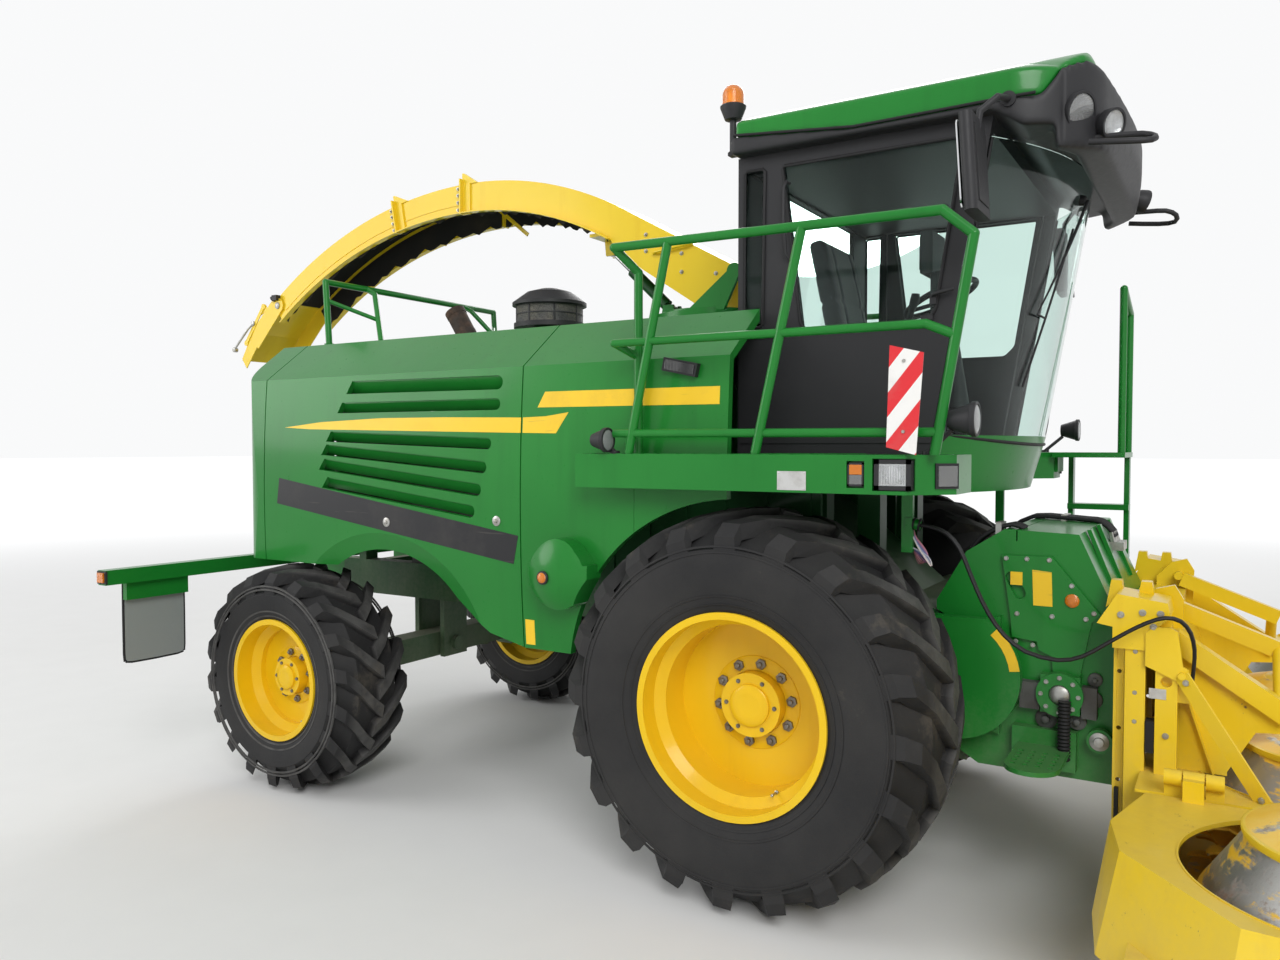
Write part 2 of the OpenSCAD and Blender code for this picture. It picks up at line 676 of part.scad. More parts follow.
ladder_x = [1000, 1350];
steps = 5;
ladder_y = 1480;
module ladder() placed(green) {
    for (x = [ladder_x[0], ladder_x[1] - 30]) box([x, ladder_y - 90, 520], [x + 30, ladder_y - 10, deck_high - 5]);
    for (i = [0 : steps - 1]) translate([0, 0, 540 + i * 300])
        box([ladder_x[0], ladder_y - 120, 0], [ladder_x[1], ladder_y, 35]);
    // landing at the top of the steps
    box([pod_front + 0.3, 1000, deck_high - 30], [ladder_x[1] + 8, ladder_y, deck_high]);
    box([pod_front + 0.3, 1100, deck_high - 120], [pod_front + 20, 1320, deck_high - 20]);
    tube_run([[ladder_x[1] - 15, ladder_y - 40, deck_high - 10], [ladder_x[1] - 15, ladder_y - 40, 2960],
        [ladder_x[1] - 15, 1040, 3060], [ladder_x[1] - 15, 1040, deck_high - 10]], rail_r);
}

// Cab. The windscreen is an arc in plan that leans forward.

screen_r = (cab_side * cab_side + screen_bulge * screen_bulge) / (2 * screen_bulge);
function post_x(z) = screen_foot + (z - cab_floor) * tan(screen_lean);

module plan_arc(r, x, x0) intersection() {
    translate([x + screen_bulge - screen_r, 0]) circle(r = r, $fn = 720);
    translate([x0, -cab_side - 80]) square([900, 2 * cab_side + 160]);
}

sill = 2680;
window_top = 3490;
module cab_body() placed("#3a3a3e") {
    difference() {
        along_y(-cab_side, cab_side) polygon([[-cab_rear, cab_floor - 120], [screen_foot, cab_floor - 120],
            [screen_foot, cab_floor], [post_x(cab_top), cab_top], [-cab_rear, cab_top]]);
        along_y(cab_wall - cab_side, cab_side - cab_wall) polygon([[cab_wall - cab_rear, cab_floor],
            [screen_foot + 200, cab_floor], [post_x(cab_top) + 200, cab_top - 60], [cab_wall - cab_rear, cab_top - 60]]);
        // side windows and the rear window
        along_y(-cab_side - 10, -cab_side + 100) side_window();
        along_y(-cab_side - 10, cab_side + 10) polygon([[-180, 2720], [-80, 2720], [-70, window_top], [-180, window_top]]);
        box([-cab_rear - 10, -680, 2760], [0, 680, window_top]);
        // doorway on the left
        along_y(cab_side - 100, cab_side + 10) doorway(0);
        box([screen_foot - 30, -cab_side + 120, cab_top - 300], [1300, cab_side - 120, cab_top - 60]);
    }
    translate([0, 0, cab_floor - 60]) linear_extrude(60) plan_arc(screen_r - 105, screen_foot, screen_foot - 1);
    for (z = door_hinge_z) {
        box([door_pin[0] - 15, cab_side - 5, z - 30], [door_pin[0] + 15, door_pin[1], z]);
        translate([door_pin[0], door_pin[1], z - 30]) cylinder(h = 30, r = door_knuckle_r);
        translate([door_pin[0], door_pin[1], z - 30]) cylinder(h = 58, r = door_pin_r);
    }
}

module side_window() polygon([[20, window_top], [120, sill + 40], [160, sill], [700, sill], [760, sill + 60], [post_x(window_top) - 110, window_top]]);

module doorway(gap) polygon([[-30 + gap, cab_floor + 20 + gap], [screen_foot - 60 - gap, cab_floor + 20 + gap],
    [post_x(window_top + 20) - 70 - gap, window_top + 20 - gap], [-30 + gap, window_top + 20 - gap]]);

// The left door, hinged at its rear edge
door_pin = [-60, cab_side + 15];
door_pin_r = 8;
door_knuckle_r = 14;
door_hinge_z = [2450, 3250];
module cab_door() placed("#3a3a3e") {
    difference() {
        for (z = door_hinge_z) {
            translate([door_pin[0], door_pin[1], z + 0.3]) cylinder(h = 30, r = door_knuckle_r);
            box([door_pin[0], cab_side + 6, z + 0.3], [20, cab_side + 18, z + 30.3]);
            box([-15, cab_side - 4, z + 0.3], [20, cab_side + 18, z + 30.3]);
        }
        for (z = door_hinge_z) translate([door_pin[0], door_pin[1], z - 1]) cylinder(h = 33, r = door_pin_r + pin_gap);
    }
    door_leaf();
}

module door_leaf() difference() {
    along_y(cab_side - cab_wall + 4, cab_side) doorway(7);
    along_y(cab_side - 100, cab_side + 10) side_window();
}

module door_glass() placed(clear) along_y(cab_side - 26, cab_side - 26 + glass_t) offset_window();

module offset_window() side_window();

module cab_windows() placed(clear) {
    right_side() along_y(cab_side - 26, cab_side - 26 + glass_t) offset_window();
    both() along_y(cab_side - 26, cab_side - 26 + glass_t)
        polygon([[-180, 2720], [-80, 2720], [-70, window_top], [-180, window_top]]);
    box([-cab_rear + 15, -680, 2760], [-cab_rear + 15 + glass_t, 680, window_top]);
}

screen_low = 2186;
screen_high = 3475;
module windscreen() placed(clear) intersection() {
    translate([screen_foot, 0, cab_floor]) rotate([0, screen_lean, 0]) translate([0, 0, -100]) linear_extrude(1700) difference() {
        plan_arc(screen_r, 0, 0.3);
        plan_arc(screen_r - glass_t, 0, -60);
    }
    box([0, 3 - cab_side, screen_low], [2000, cab_side - 3, screen_high]);
}

module cab_skirt() placed(green) difference() {
    intersection() {
        translate([screen_foot + screen_bulge - screen_r, 0, 1920]) cylinder(h = 280, r1 = screen_r - 60, r2 = screen_r + 17, $fn = 720);
        box([post_x(screen_low) + 3, -cab_side, 1920], [1400, cab_side, screen_low - 0.3]);
    }
    translate([screen_foot + screen_bulge - screen_r, 0, 1900]) cylinder(h = 300, r1 = screen_r - 96, r2 = screen_r - 34, $fn = 720);
}

// Roof: a dark fascia under a crowned green cap
roof_side = 1000;
roof_r = 3400;
module roof_plan(inset) difference() {
    intersection() {
        translate([roof_front - inset - roof_r, 0]) circle(r = roof_r, $fn = 720);
        translate([-cab_rear - 10 + inset, inset - roof_side]) square([3000, 2 * (roof_side - inset)]);
    }
}

module roof_fascia() placed("#2e2e32") difference() {
    intersection() {
        translate([0, 0, 3300]) linear_extrude(500) roof_plan(0);
        along_y(-roof_side, roof_side) polygon([[-cab_rear - 10, cab_top], [1010, cab_top], [1130, 3479], [1290, 3479], [1300, 3380],
            [1420, 3400], [roof_front, 3520], [roof_front, 3640], [1380, 3760], [1200, 3600], [400, 3590], [-cab_rear - 10, 3650]]);
    }
}

module roof_cap() placed(green) intersection() {
    translate([0, 0, 3300]) linear_extrude(800) roof_plan(20);
    along_y(-roof_side, roof_side) polygon([[-cab_rear, 3650.3], [400, 3590.3], [1200, 3600.3], [1380, 3760.3],
        [1340, 3840], [1200, 3905], [800, 3950], [200, 3940], [-140, 3880], [-cab_rear, 3760]]);
    along_x(-cab_rear - 10, 1600) intersection() {
        translate([0, 3940 - 2300]) circle(r = 2300, $fn = 720);
        translate([-roof_side, 3500]) square([2 * roof_side, 600]);
    }
}

// Seat, controls, mirrors and lamps

seat_x = 270;
module cab_fittings() placed("#3a3a3e") {
    translate([seat_x, 0, cab_floor]) cylinder(h = 300, r = 150);
    box([seat_x - 200, -210, cab_floor + 290], [seat_x + 220, 210, cab_floor + 380]);
    box([seat_x - 160, -420, cab_floor + 300], [seat_x + 330, -260, cab_floor + 620]);
    box([seat_x - 160, -270, cab_floor + 300], [seat_x + 100, -200, cab_floor + 340]);
    translate([680, 0, cab_floor]) cylinder(h = 50, r = 90);
    rod([678, 0, cab_floor + 20], [560, 0, cab_floor + 720], 55);
    translate([545, 0, cab_floor + 800]) rotate([0, -25, 0]) {
        rotate_extrude() translate([195, 0]) circle(r = 16);
        for (a = [90, 210, 330]) rotate([0, 0, a]) rod([0, 0, -20], [195, 0, 0], 11);
        translate([0, 0, -90]) cylinder(h = 90, r = 45);
    }
    box([640, -560, cab_floor], [700, -480, cab_floor + 850]);
    box([600, -600, cab_floor + 840], [660, -380, cab_floor + 1040]);
}

module seat() placed("#26262a") {
    box([seat_x - 230, -250, cab_floor + 380.3], [seat_x + 270, 250, cab_floor + 510]);
    translate([seat_x - 170, 0, cab_floor + 480]) rotate([0, -12, 0])
        box([-110, -240, 0], [20, 240, 680]);
}

mirror_y = 1180;
module mirrors() placed("#1d1d20") {
    both() {
        translate([975, mirror_y, 3070]) rotate([0, -4, 0]) linear_extrude(390) {
            translate([0, -70]) square([55, 210]);
            translate([28, -70]) circle(r = 27.5);
            translate([28, 140]) circle(r = 27.5);
        }
        along_y(roof_side + 0.3, roof_side + 10) translate([1075, 3590]) circle(r = 32);
        tube_run([[1075, roof_side + 5, 3590], [1060, 1140, 3560], [1000, 1180, 3500], [990, 1190, 3400]], 14);
    }
}

module round_lamp(r, depth) rotate([0, 90, 0]) {
    cylinder(h = depth, r1 = r * 0.55, r2 = r);
    translate([0, 0, depth]) cylinder(h = 12, r = r);
}

module lamps() placed("#26262a") {
    both() {
        // work lamps at the ends of the low rail
        translate([-690, railing_y + 30, 2165]) round_lamp(55, 70);
        rod([-640, railing_y + 30, 2165], [-600, railing_y - 20, deck_high + 9], 10);
        translate([-600, railing_y - 20, deck_high + 0.3]) cylinder(h = 14, r = 24);
        translate([950, railing_y - 60, 2240]) round_lamp(65, 90);
        rod([960, railing_y - 60, 2200], [860, railing_y - 90, deck_high + 9], 10);
        translate([860, railing_y - 90, deck_high + 0.3]) cylinder(h = 14, r = 24);
        // head lamps let into the pods
        box([675, track_half - 44.7, deck_low + 22], [825, track_half - 6, deck_high - 22]);
        box([565, track_half - 34.7, deck_low + 35], [630, track_half - 8, deck_high - 35]);
    }
}

module beacon() placed("orange") {
    box([-cab_rear - 75, -880, 3600], [-cab_rear - 10.3, -840, 3612]);
    rod([-cab_rear - 60, -860, 3605], [-cab_rear - 60, -860, 3790], 14);
    translate([-cab_rear - 60, -860, 3780]) cylinder(h = 60, r1 = 40, r2 = 62);
    translate([-cab_rear - 60, -860, 3840]) cylinder(h = 60, r = 55);
    translate([-cab_rear - 60, -860, 3900]) sphere(r = 55);
}

// Crop path: cutterhead housing, chute and turning ring

drum_r = 330;
drum_half = 600;
ring_z = 2870;
lift_pin_r = 60;
module cutter_housing() placed(dark_green) difference() {
    union() {
        axle_y(lift_x, lift_z, drum_r, -drum_half, drum_half);
        axle_y(lift_x, lift_z, lift_pin_r, -drum_half - 62, drum_half + 62);
        along_y(-rail_y + rail_w + 5, rail_y - rail_w - 5) polygon([[lift_x - 300, lift_z - 60], [lift_x, lift_z + 300],
            [120, lift_z + 650], [-cab_rear - 115, 2000], [-turret_x + 260, 2600], [-turret_x + 260, 2700], [-turret_x - 260, 2700],
            [-turret_x - 260, 2600], [-150, lift_z + 260], [130, lift_z - 5]]);
        translate([-turret_x, 0, 2690]) cylinder(h = ring_z - 2690, r = turret_r);
    }
    translate([-turret_x, 0, 2500]) cylinder(h = 500, r = turret_r - 90);
}

pin_x = spout_pin_fwd - turret_x;
spout_pin_r = 22;
ear_in = spout_half + 6;
cyl_base = [-turret_x - 270, 0, 2990];
cyl_eye = [-1560, 0, 3400];
module turntable() placed(green) {
    difference() {
        union() {
            translate([-turret_x, 0, ring_z + 0.3]) cylinder(h = 60, r = turret_r + 20);
            translate([-turret_x, 0, ring_z + 50]) cylinder(h = 30, r = turret_r - 30);
            box([-turret_x - 330, -60, ring_z + 20], [-turret_x - 250, 60, ring_z + 60]);
            both() along_y(35, 55) polygon([[cyl_base[0] - 60, ring_z + 30], [cyl_base[0] + 60, ring_z + 30],
                [cyl_base[0] + 35, cyl_base[2] + 30], [cyl_base[0] - 35, cyl_base[2] + 30]]);
        }
        translate([-turret_x, 0, ring_z - 10]) cylinder(h = 120, r = turret_r - 90);
    }
    both() {
        along_y(ear_in, ear_in + 25) {
            polygon([[-turret_x - 80, ring_z + 30], [-turret_x + 200, ring_z + 30], [pin_x + 45, spout_pin_z], [pin_x - 45, spout_pin_z]]);
            translate([pin_x, spout_pin_z]) circle(r = 45);
        }
        axle_y(pin_x, spout_pin_z, spout_pin_r, spout_half - spout_t - 4, ear_in + 5);
    }
    axle_y(cyl_base[0], cyl_base[2], 20, -50, 50);
}

// Spout: a U-channel bent to two arcs over a deep base

module channel(r) {
    translate([r - spout_t, -spout_half]) square([spout_t, 2 * spout_half]);
    for (s = [-1, 1]) {
        translate([r - spout_depth, s * (spout_half - spout_t / 2) - spout_t / 2]) square([spout_depth, spout_t]);
        translate([r - spout_depth, s * (spout_half + 18) - 22]) square([spout_t, 44]);
    }
}

module arc_channel(r, from, span) translate([-apex_x, 0, apex_z - r]) rotate([90, 0, 0]) rotate([0, 0, from])
    rotate_extrude(angle = span, $fn = 720) channel(r);

arc_gap = 0.05;
knee = [front_arc_r * sin(front_arc_deg) - apex_x, apex_z - front_arc_r * (1 - cos(front_arc_deg))];
knee_in = knee - spout_depth * [sin(front_arc_deg), cos(front_arc_deg)];
base_front = [-545, knee[1] - (-545 - knee[0]) * tan(front_arc_deg)];
base_back = knee - 40 * [cos(front_arc_deg), -sin(front_arc_deg)] - 2 * [sin(front_arc_deg), cos(front_arc_deg)];
base_back_in = knee_in - 40 * [cos(front_arc_deg), -sin(front_arc_deg)] + 3 * [sin(front_arc_deg), cos(front_arc_deg)];
module base_side(cut) polygon([base_back, knee - [0, 2], base_front + [cut, 0], [pin_x + 25 + cut, spout_pin_z], [-615, 2960 - 3 * cut], [-820, 2972 - 3 * cut],
    [-1235, 3240], [-1350, 3300 - cut], knee_in, base_back_in]);

module spout() placed(yellow) {
    arc_channel(back_arc_r, 90 + arc_gap, back_arc_deg - arc_gap);
    arc_channel(front_arc_r, 90 - front_arc_deg, front_arc_deg - arc_gap);
    difference() {
        along_y(-spout_half, spout_half) base_side(0);
        along_y(spout_t - spout_half, spout_half - spout_t) translate([0, -spout_t * 1.2]) base_side(0);
        along_y(spout_t - spout_half, spout_half - spout_t)
            polygon([knee - [200, 8], knee + [40, -30], [-1100, 3000], [-1500, 3300]]);
        axle_y(pin_x, spout_pin_z, spout_pin_r + pin_gap, -spout_half - 1, spout_half + 1);
    }
    for (a = clamp_deg) translate([-apex_x, 0, apex_z - back_arc_r]) rotate([0, -a, 0]) spout_clamp();
    // arm of the flap's pull rod, under the front clamp
    box([-apex_x - 20, 60, apex_z - spout_t - 60], [-apex_x + 30, 75, apex_z - spout_t / 2]);
    bar([-apex_x + 10, 67, apex_z - 75], [-apex_x + 330, 67, apex_z - 330], 26, 10);
    // lug of the lift cylinder
    box([cyl_eye[0] - 40, -spout_half + 1, cyl_eye[2] + 60], [cyl_eye[0] + 40, spout_half - 1, cyl_eye[2] + 80]);
    both() along_y(32, 47) polygon([[cyl_eye[0] - 40, cyl_eye[2] + 70], [cyl_eye[0] - 30, cyl_eye[2] - 30],
        [cyl_eye[0] + 30, cyl_eye[2] - 30], [cyl_eye[0] + 40, cyl_eye[2] + 70]]);
    // flap pins
    both() translate([back_end_x, 0, back_end_z]) rotate([0, -back_arc_deg, 0])
        axle_y(40, -60, flap_pin_r, spout_half - 4, spout_half + 26);
}

// Angles behind the spout's top where its sections are clamped together
clamp_deg = [0, 10.9];
clamp_t = 12;
clamp_ear = 72;
module spout_clamp() {
    both() {
        box([-10, spout_half - spout_t / 2, back_arc_r - spout_depth - 6], [clamp_ear - 10, spout_half + clamp_t, back_arc_r - 2]);
        box([-10, spout_half - 3, back_arc_r - spout_depth - 6], [2, spout_half + 42, back_arc_r + 30]);
        along_y(spout_half - 20, spout_half + clamp_t - 4) polygon([[-10, back_arc_r - spout_t / 2],
            [-10, back_arc_r + clamp_ear], [4, back_arc_r + clamp_ear], [2 * clamp_ear - 20, back_arc_r - spout_t / 2]]);
    }
    box([-10, -spout_half - 1, back_arc_r - spout_t / 2], [2, spout_half + 1, back_arc_r + 30]);
}

flap_pin_r = 14;
flap_pin = [back_end_x + 40 * cos(back_arc_deg) - 60 * sin(back_arc_deg) * -1, 0, back_end_z - 60 * cos(back_arc_deg) + 40 * sin(back_arc_deg)];
module spout_flap() placed(yellow) {
    cheek = spout_half + 8;
    difference() {
        union() {
            both() along_y(cheek - 2, cheek + 8) {
                translate([flap_pin[0], flap_pin[2]]) circle(r = 60);
                polygon([[flap_pin[0] + 10, flap_pin[2] + 58], [flap_pin[0] - 40, flap_pin[2] + 70],
                    [flap_pin[0] - 333, flap_pin[2] - 192], [flap_pin[0] - 250, flap_pin[2] - 330], [flap_pin[0] + 30, flap_pin[2] - 55]]);
            }
            along_y(-cheek, cheek) polygon([[flap_pin[0] - 40, flap_pin[2] + 75], [flap_pin[0] - 335, flap_pin[2] - 185],
                [flap_tip_x, back_end_z - 430], [flap_tip_x, back_end_z - 440], [flap_pin[0] - 330, flap_pin[2] - 200], [flap_pin[0] - 40, flap_pin[2] + 65]]);
            // cheeks and lugs of the tip plate, with the flat links that set it
            both() {
                along_y(cheek - 2, cheek + 6) polygon([[flap_pin[0] - 300, flap_pin[2] - 165], [flap_tip_x + 5, back_end_z - 425],
                    [flap_tip_x + 60, back_end_z - 505], [flap_pin[0] - 255, flap_pin[2] - 300]]);
                along_y(cheek + 5, cheek + 13) for (p = [[-175, 5], [-395, -275]])
                    translate([flap_pin[0] + p[0], flap_pin[2] + p[1]]) circle(r = 22);
                along_y(cheek - 2, cheek + 6) polygon([[flap_pin[0] - 215, flap_pin[2] - 60], [flap_pin[0] - 185, flap_pin[2] + 30],
                    [flap_pin[0] - 155, flap_pin[2] + 20], [flap_pin[0] - 130, flap_pin[2] - 20]]);
                bar([flap_pin[0] - 175, cheek + 10, flap_pin[2] + 5], [flap_pin[0] - 395, cheek + 10, flap_pin[2] - 275], 30, 6);
            }
        }
        axle_y(flap_pin[0], flap_pin[2], flap_pin_r + pin_gap, -400, 400);
    }
}

// Lift cylinders, drawn between their base pins and their rods' eyes

module barrel(a, b, length, r) {
    dir = (b - a) / norm(b - a);
    difference() {
        union() {
            rod(a + dir * r * 1.3, a + dir * length, r);
            rod(a, a + dir * r * 1.5, 25);
            axle_y(a[0], a[2], r * 0.9, a[1] - 28, a[1] + 28);
        }
        axle_y(a[0], a[2], 20 + pin_gap, a[1] - 40, a[1] + 40);
        rod(a + dir * (r * 1.3 + 20), a + dir * (length + 1), r * 0.55 + 0.3);
    }
}

module piston_rod(a, b, start, r) {
    dir = (b - a) / norm(b - a);
    difference() {
        union() {
            rod(a + dir * start, b, r);
            axle_y(b[0], b[2], r * 1.5, b[1] - 24, b[1] + 24);
        }
        axle_y(b[0], b[2], 20, b[1] - 40, b[1] + 40);
    }
}

module spout_barrel() placed(dark_green) barrel(cyl_base, cyl_eye, 400, 38);
module spout_rod() placed(steel) piston_rod(cyl_base, cyl_eye, 220, 20.9);

lift_base = [150, 250, 620];
lift_eye = [1100, 250, 560];
module lift_barrels() placed(dark_green) both() barrel(lift_base, lift_eye, 620, 50);
module lift_rods() placed(steel) both() piston_rod(lift_base, lift_eye, 420, 27.5);

// Feeder house: rolls' housing, carried on the lift pin by two side arms

feed_half = 615;
feed_front = 1490;
slot_w = 52;
hub = [1262, 1026];
arm_in = drum_half + 8;
module feeder_house() placed(green) {
    difference() {
        along_y(-feed_half, feed_half) polygon([[836, 1640], [1007, 1752], [1324, 1741], [1455, 1450], [feed_front, 1380],
            [feed_front, 640], [900, 640], [700, 760], [700, 1400]]);
        axle_y(lift_x, lift_z, drum_r + 10, -feed_half - 1, feed_half + 1);
        box([1250, -360, 760], [feed_front + 1, 360, 1240]);
        // seam between the two top plates
        along_y(-feed_half - 1, feed_half + 1) polygon([[1058, 1700], [1064, 1700], [1064, 1800], [1058, 1800]]);
    }
    both() {
        difference() {
            along_y(arm_in, arm_in + 40) {
                translate([lift_x, lift_z]) circle(r = 130);
                polygon([[lift_x, lift_z + 130], [1000, 1350], [1000, 800], [lift_x, lift_z - 130]]);
            }
            axle_y(lift_x, lift_z, lift_pin_r + pin_gap, arm_in - 1, arm_in + 41);
        }
        // side cover with its hand slot, and the shields below it
        along_y(feed_half, feed_half + 22) {
            difference() {
                polygon([[1001, 1633], [1215, 1638], [1416, 1393], [1383, 1353], [1041, 1351]]);
                translate([1062, 1498]) rotate(28) square([slot_w - 1, 80], center = true);
                for (d = [-40, 40]) translate([1062 - d * sin(28), 1498 + d * cos(28)]) circle(r = slot_w / 2);
            }
            polygon([[1041, 1351], [1383, 1353], [1333, 1079], [1230, 1074], [1221, 1186], [1165, 1210], [1157, 1247], [1049, 1259]]);
        }
        box([1060, feed_half - 5, 680], [1330, feed_half + 55, 860]);
        for (y = [lift_eye[1] - 49, lift_eye[1] + 34]) along_y(y, y + 15) lift_lug();
    }
    right_side() {
        difference() {
            union() {
                box([1090, feed_half + 50, 768], [1310, feed_half + 370, 788]);
                translate([1200, feed_half + 370, 768]) cylinder(h = 20, r = 110);
            }
            for (x = [0 : 3], y = [0 : 4]) translate([1125 + 50 * x, feed_half + 185 + 50 * y, 760]) cylinder(h = 40, r = 12);
        }
        // gearbox of the feed drive with its round cover, and an idler ahead of it
        box([1180, feed_half - 1, 940], [1345, feed_half + 60, 1110]);
        difference() {
            axle_y(hub[0], hub[1], 98, feed_half - 1, feed_half + 75);
            axle_y(hub[0], hub[1], 46, feed_half + 60, feed_half + 76);
        }
        axle_y(1425, 840, 18, feed_half - 1, feed_half + 62);
        axle_y(1425, 840, 52, feed_half + 20, feed_half + 60);
    }
}

module lift_lug() polygon([[lift_eye[0] - 70, 645], [lift_eye[0] - 30, lift_eye[2] - 35], [lift_eye[0] + 30, lift_eye[2] - 35], [lift_eye[0] + 70, 645]]);

// Guards of the main drive on the right, beside the feeder
module drive_covers() placed(green) right_side() {
    along_y(680, 735) intersection() {
        translate([800, 1080]) circle(r = 305, $fn = 128);
        translate([400, 700]) square([800, 645]);
    }
    axle_y(lift_x + 100, lift_z - 20, 60, drum_half + 62, 690);
}

// Header

half_pitch = rotor_pitch / 2;
split_y = rotor_pitch;
split_gap = 6;
spindle_up_r = 40;
beam_x = [1650, 1735];
frame_x = feed_front + 0.3;
divider_x = 2640;
cowl_hole = 525;

module divider(y, half, x0, tip, h) polyhedron(
    points = [[x0, y - half, 242], [x0, y + half, 242], [x0, y + half * 0.8, h], [x0, y - half * 0.8, h],
        [tip, y - 12, 230], [tip, y + 12, 230], [tip, y + 8, 262], [tip, y - 8, 262]],
    faces = [[0, 1, 2, 3], [5, 4, 7, 6], [1, 0, 4, 5], [2, 1, 5, 6], [3, 2, 6, 7], [0, 3, 7, 4]]);

brace_y = 750;
post_low = 430;
// One side of the throat frame: a folded post with its holes, an inner post, the saddle, head plate and socket
module throat_post() {
    box([frame_x, 640, post_low], [frame_x + 12, 812, 1330]);
    difference() {
        translate([0, 0, post_low]) linear_extrude(1345 - post_low) polygon([[frame_x + 1, 800], [1535, 800], [1545, 860],
            [1605, 860], [1605, 800], [1613, 800], [1613, 868], [1538, 868], [1528, 808], [frame_x + 1, 808]]);
        for (z = [730, 950, 1190]) axle_y(1512, z, 9, 790, 820);
    }
    box([frame_x + 1, 796, post_low], [1735, 809, 620]);
    difference() {
        box([1650, 800, 500], [1730, 880, 1390]);
        axle_y(1690, 1180, 21, 850, 881);
    }
    along_y(640, 880) polygon([[1430, 1397], [1505, 1525], [1690, 1500], [1700, 1440], [1640, 1385], [1500, 1385]]);
    for (x = [1445, 1560]) along_y(640, 700) polygon([[x, 1440], [x + 20, 1560], [x + 60, 1560], [x + 70, 1500]]);
    along_y(878, 890) polygon([[1613, 1240], [1613, 1375], [1640, 1400], [1700, 1405], [1728, 1390], [1748, 1250],
        [1768, 1240], [1768, 1195], [1740, 1185]]);
    axle_y(1745, 1215, 14, 870, 910);
    box([1722, 830, cable_end - 70], [1800, 870, cable_end]);
}

fold_z = 870;
fold_x = 1700;
fold_r = 30;
fold_pin_r = 14;
module header_frame() placed(yellow) {
    both() {
        for (x = [fold_x, fold_x + 140]) {
            rod([x, split_y, fold_z], [x + 60, split_y, fold_z], fold_r);
            box([x, split_y - 60, cowl_z - 10], [x + 60, split_y - 8, fold_z + 10]);
        }
        rod([fold_x, split_y, fold_z], [fold_x + 200, split_y, fold_z], fold_pin_r);
        throat_post();
        bar([1700, brace_y, 1345], [2110, brace_y, 1071], 80, 80);
        bar([1680, 500, 1440], [2110, 500, 1276], 70, 50);
        rod([2080, 500, 1290], [2080, brace_y, 1092], 24);
        bar([1745, 895, 1215], [2030, 1050, 796], 60, 10);
        // shield under the brace, clear of the rotor below it
        along_y(brace_y - 6, brace_y + 4) polygon([[1728, 1300], [1760, 1290], [2105, 1062], [2105, 1000], [2000, 990],
            [1905, 815], [1905, 798], [1728, 798]]);
        along_y(560, 590) polygon([[1560, 1380], [1560, 1440], [1630, 1520], [1700, 1540], [1735, 1480], [1730, 1300]]);
        axle_y(1665, 1455, 20, 480, 610);
        // rotor gearboxes and spindles
        translate([rotor_x, half_pitch, 250]) cylinder(h = 55, r = 210);
        translate([rotor_x, half_pitch, 250]) cylinder(h = 500, r = spindle_up_r);
        divider(split_y - 70, 52, divider_x, divider_tip - 250, 560);
        box([2300, split_y - 110, 240], [divider_x + 40, split_y - 30, 290]);
    }
    box([frame_x, -880, 1300], [1700, 880, 1390]);
    box([beam_x[0], split_gap - split_y, 300], [beam_x[1], split_y - split_gap, 560]);
    box([1600, split_gap - split_y, 238], [2420, split_y - split_gap, 256]);
    box([1640, split_gap - split_y, 239], [1720, split_y - split_gap, 320]);
    box([beam_x[0], -880, 550], [beam_x[1], -380, 800]);
    box([beam_x[0], 380, 550], [beam_x[1], 880, 800]);
    // sloped covers
    along_y(-780, 780) polygon([[1690, 1330], [1860, cowl_z], [1860, cowl_z - 14], [1690, 1312]]);
    divider(0, 90, divider_x, divider_tip - 150, 640);
    box([2300, -60, 240], [divider_x + 40, 60, 290]);
    difference() {
        translate([0, 0, cowl_z - sheet_t]) linear_extrude(sheet_t)
            polygon([[1600, split_gap - split_y], [1600, split_y - split_gap], [2450, split_y - split_gap], [2700, 0], [2450, split_gap - split_y]]);
        for (s = [-1, 1]) translate([rotor_x, s * half_pitch, 0]) cylinder(h = 1000, r = cowl_hole);
    }
}

// A wing's sheet-metal cowl. Columns: X and Y of the upper edge, then of the lower edge
cowl = [[1640, 1140, 1590, 1140], [1555, 1520, 1500, 1520], [1610, 1790, 1545, 1830], [1950, 2190, 1900, 2260],
    [2500, 2225, 2500, 2290], [2950, 2215, 2950, 2280], [2950, 1140, 2950, 1140]];
cowl_low = 450;
function cowl_points(inset) = concat([for (p = cowl) [p[2] + inset, p[3] - (p[3] > 1200 ? inset : -1), cowl_low - (inset > 0 ? 1 : 0)]],
    [for (p = cowl) [p[0] + inset, p[1] - (p[1] > 1200 ? inset : -1), cowl_z - inset]]);
module cowl_block(inset) {
    n = len(cowl);
    polyhedron(points = cowl_points(inset), faces = concat([[for (i = [n - 1 : -1 : 0]) i]],
        [[for (i = [0 : n - 1]) n + i]],
        [for (i = [0 : n - 1]) [i, (i + 1) % n, n + i]],
        [for (i = [0 : n - 1]) [(i + 1) % n, n + (i + 1) % n, n + i]]));
}

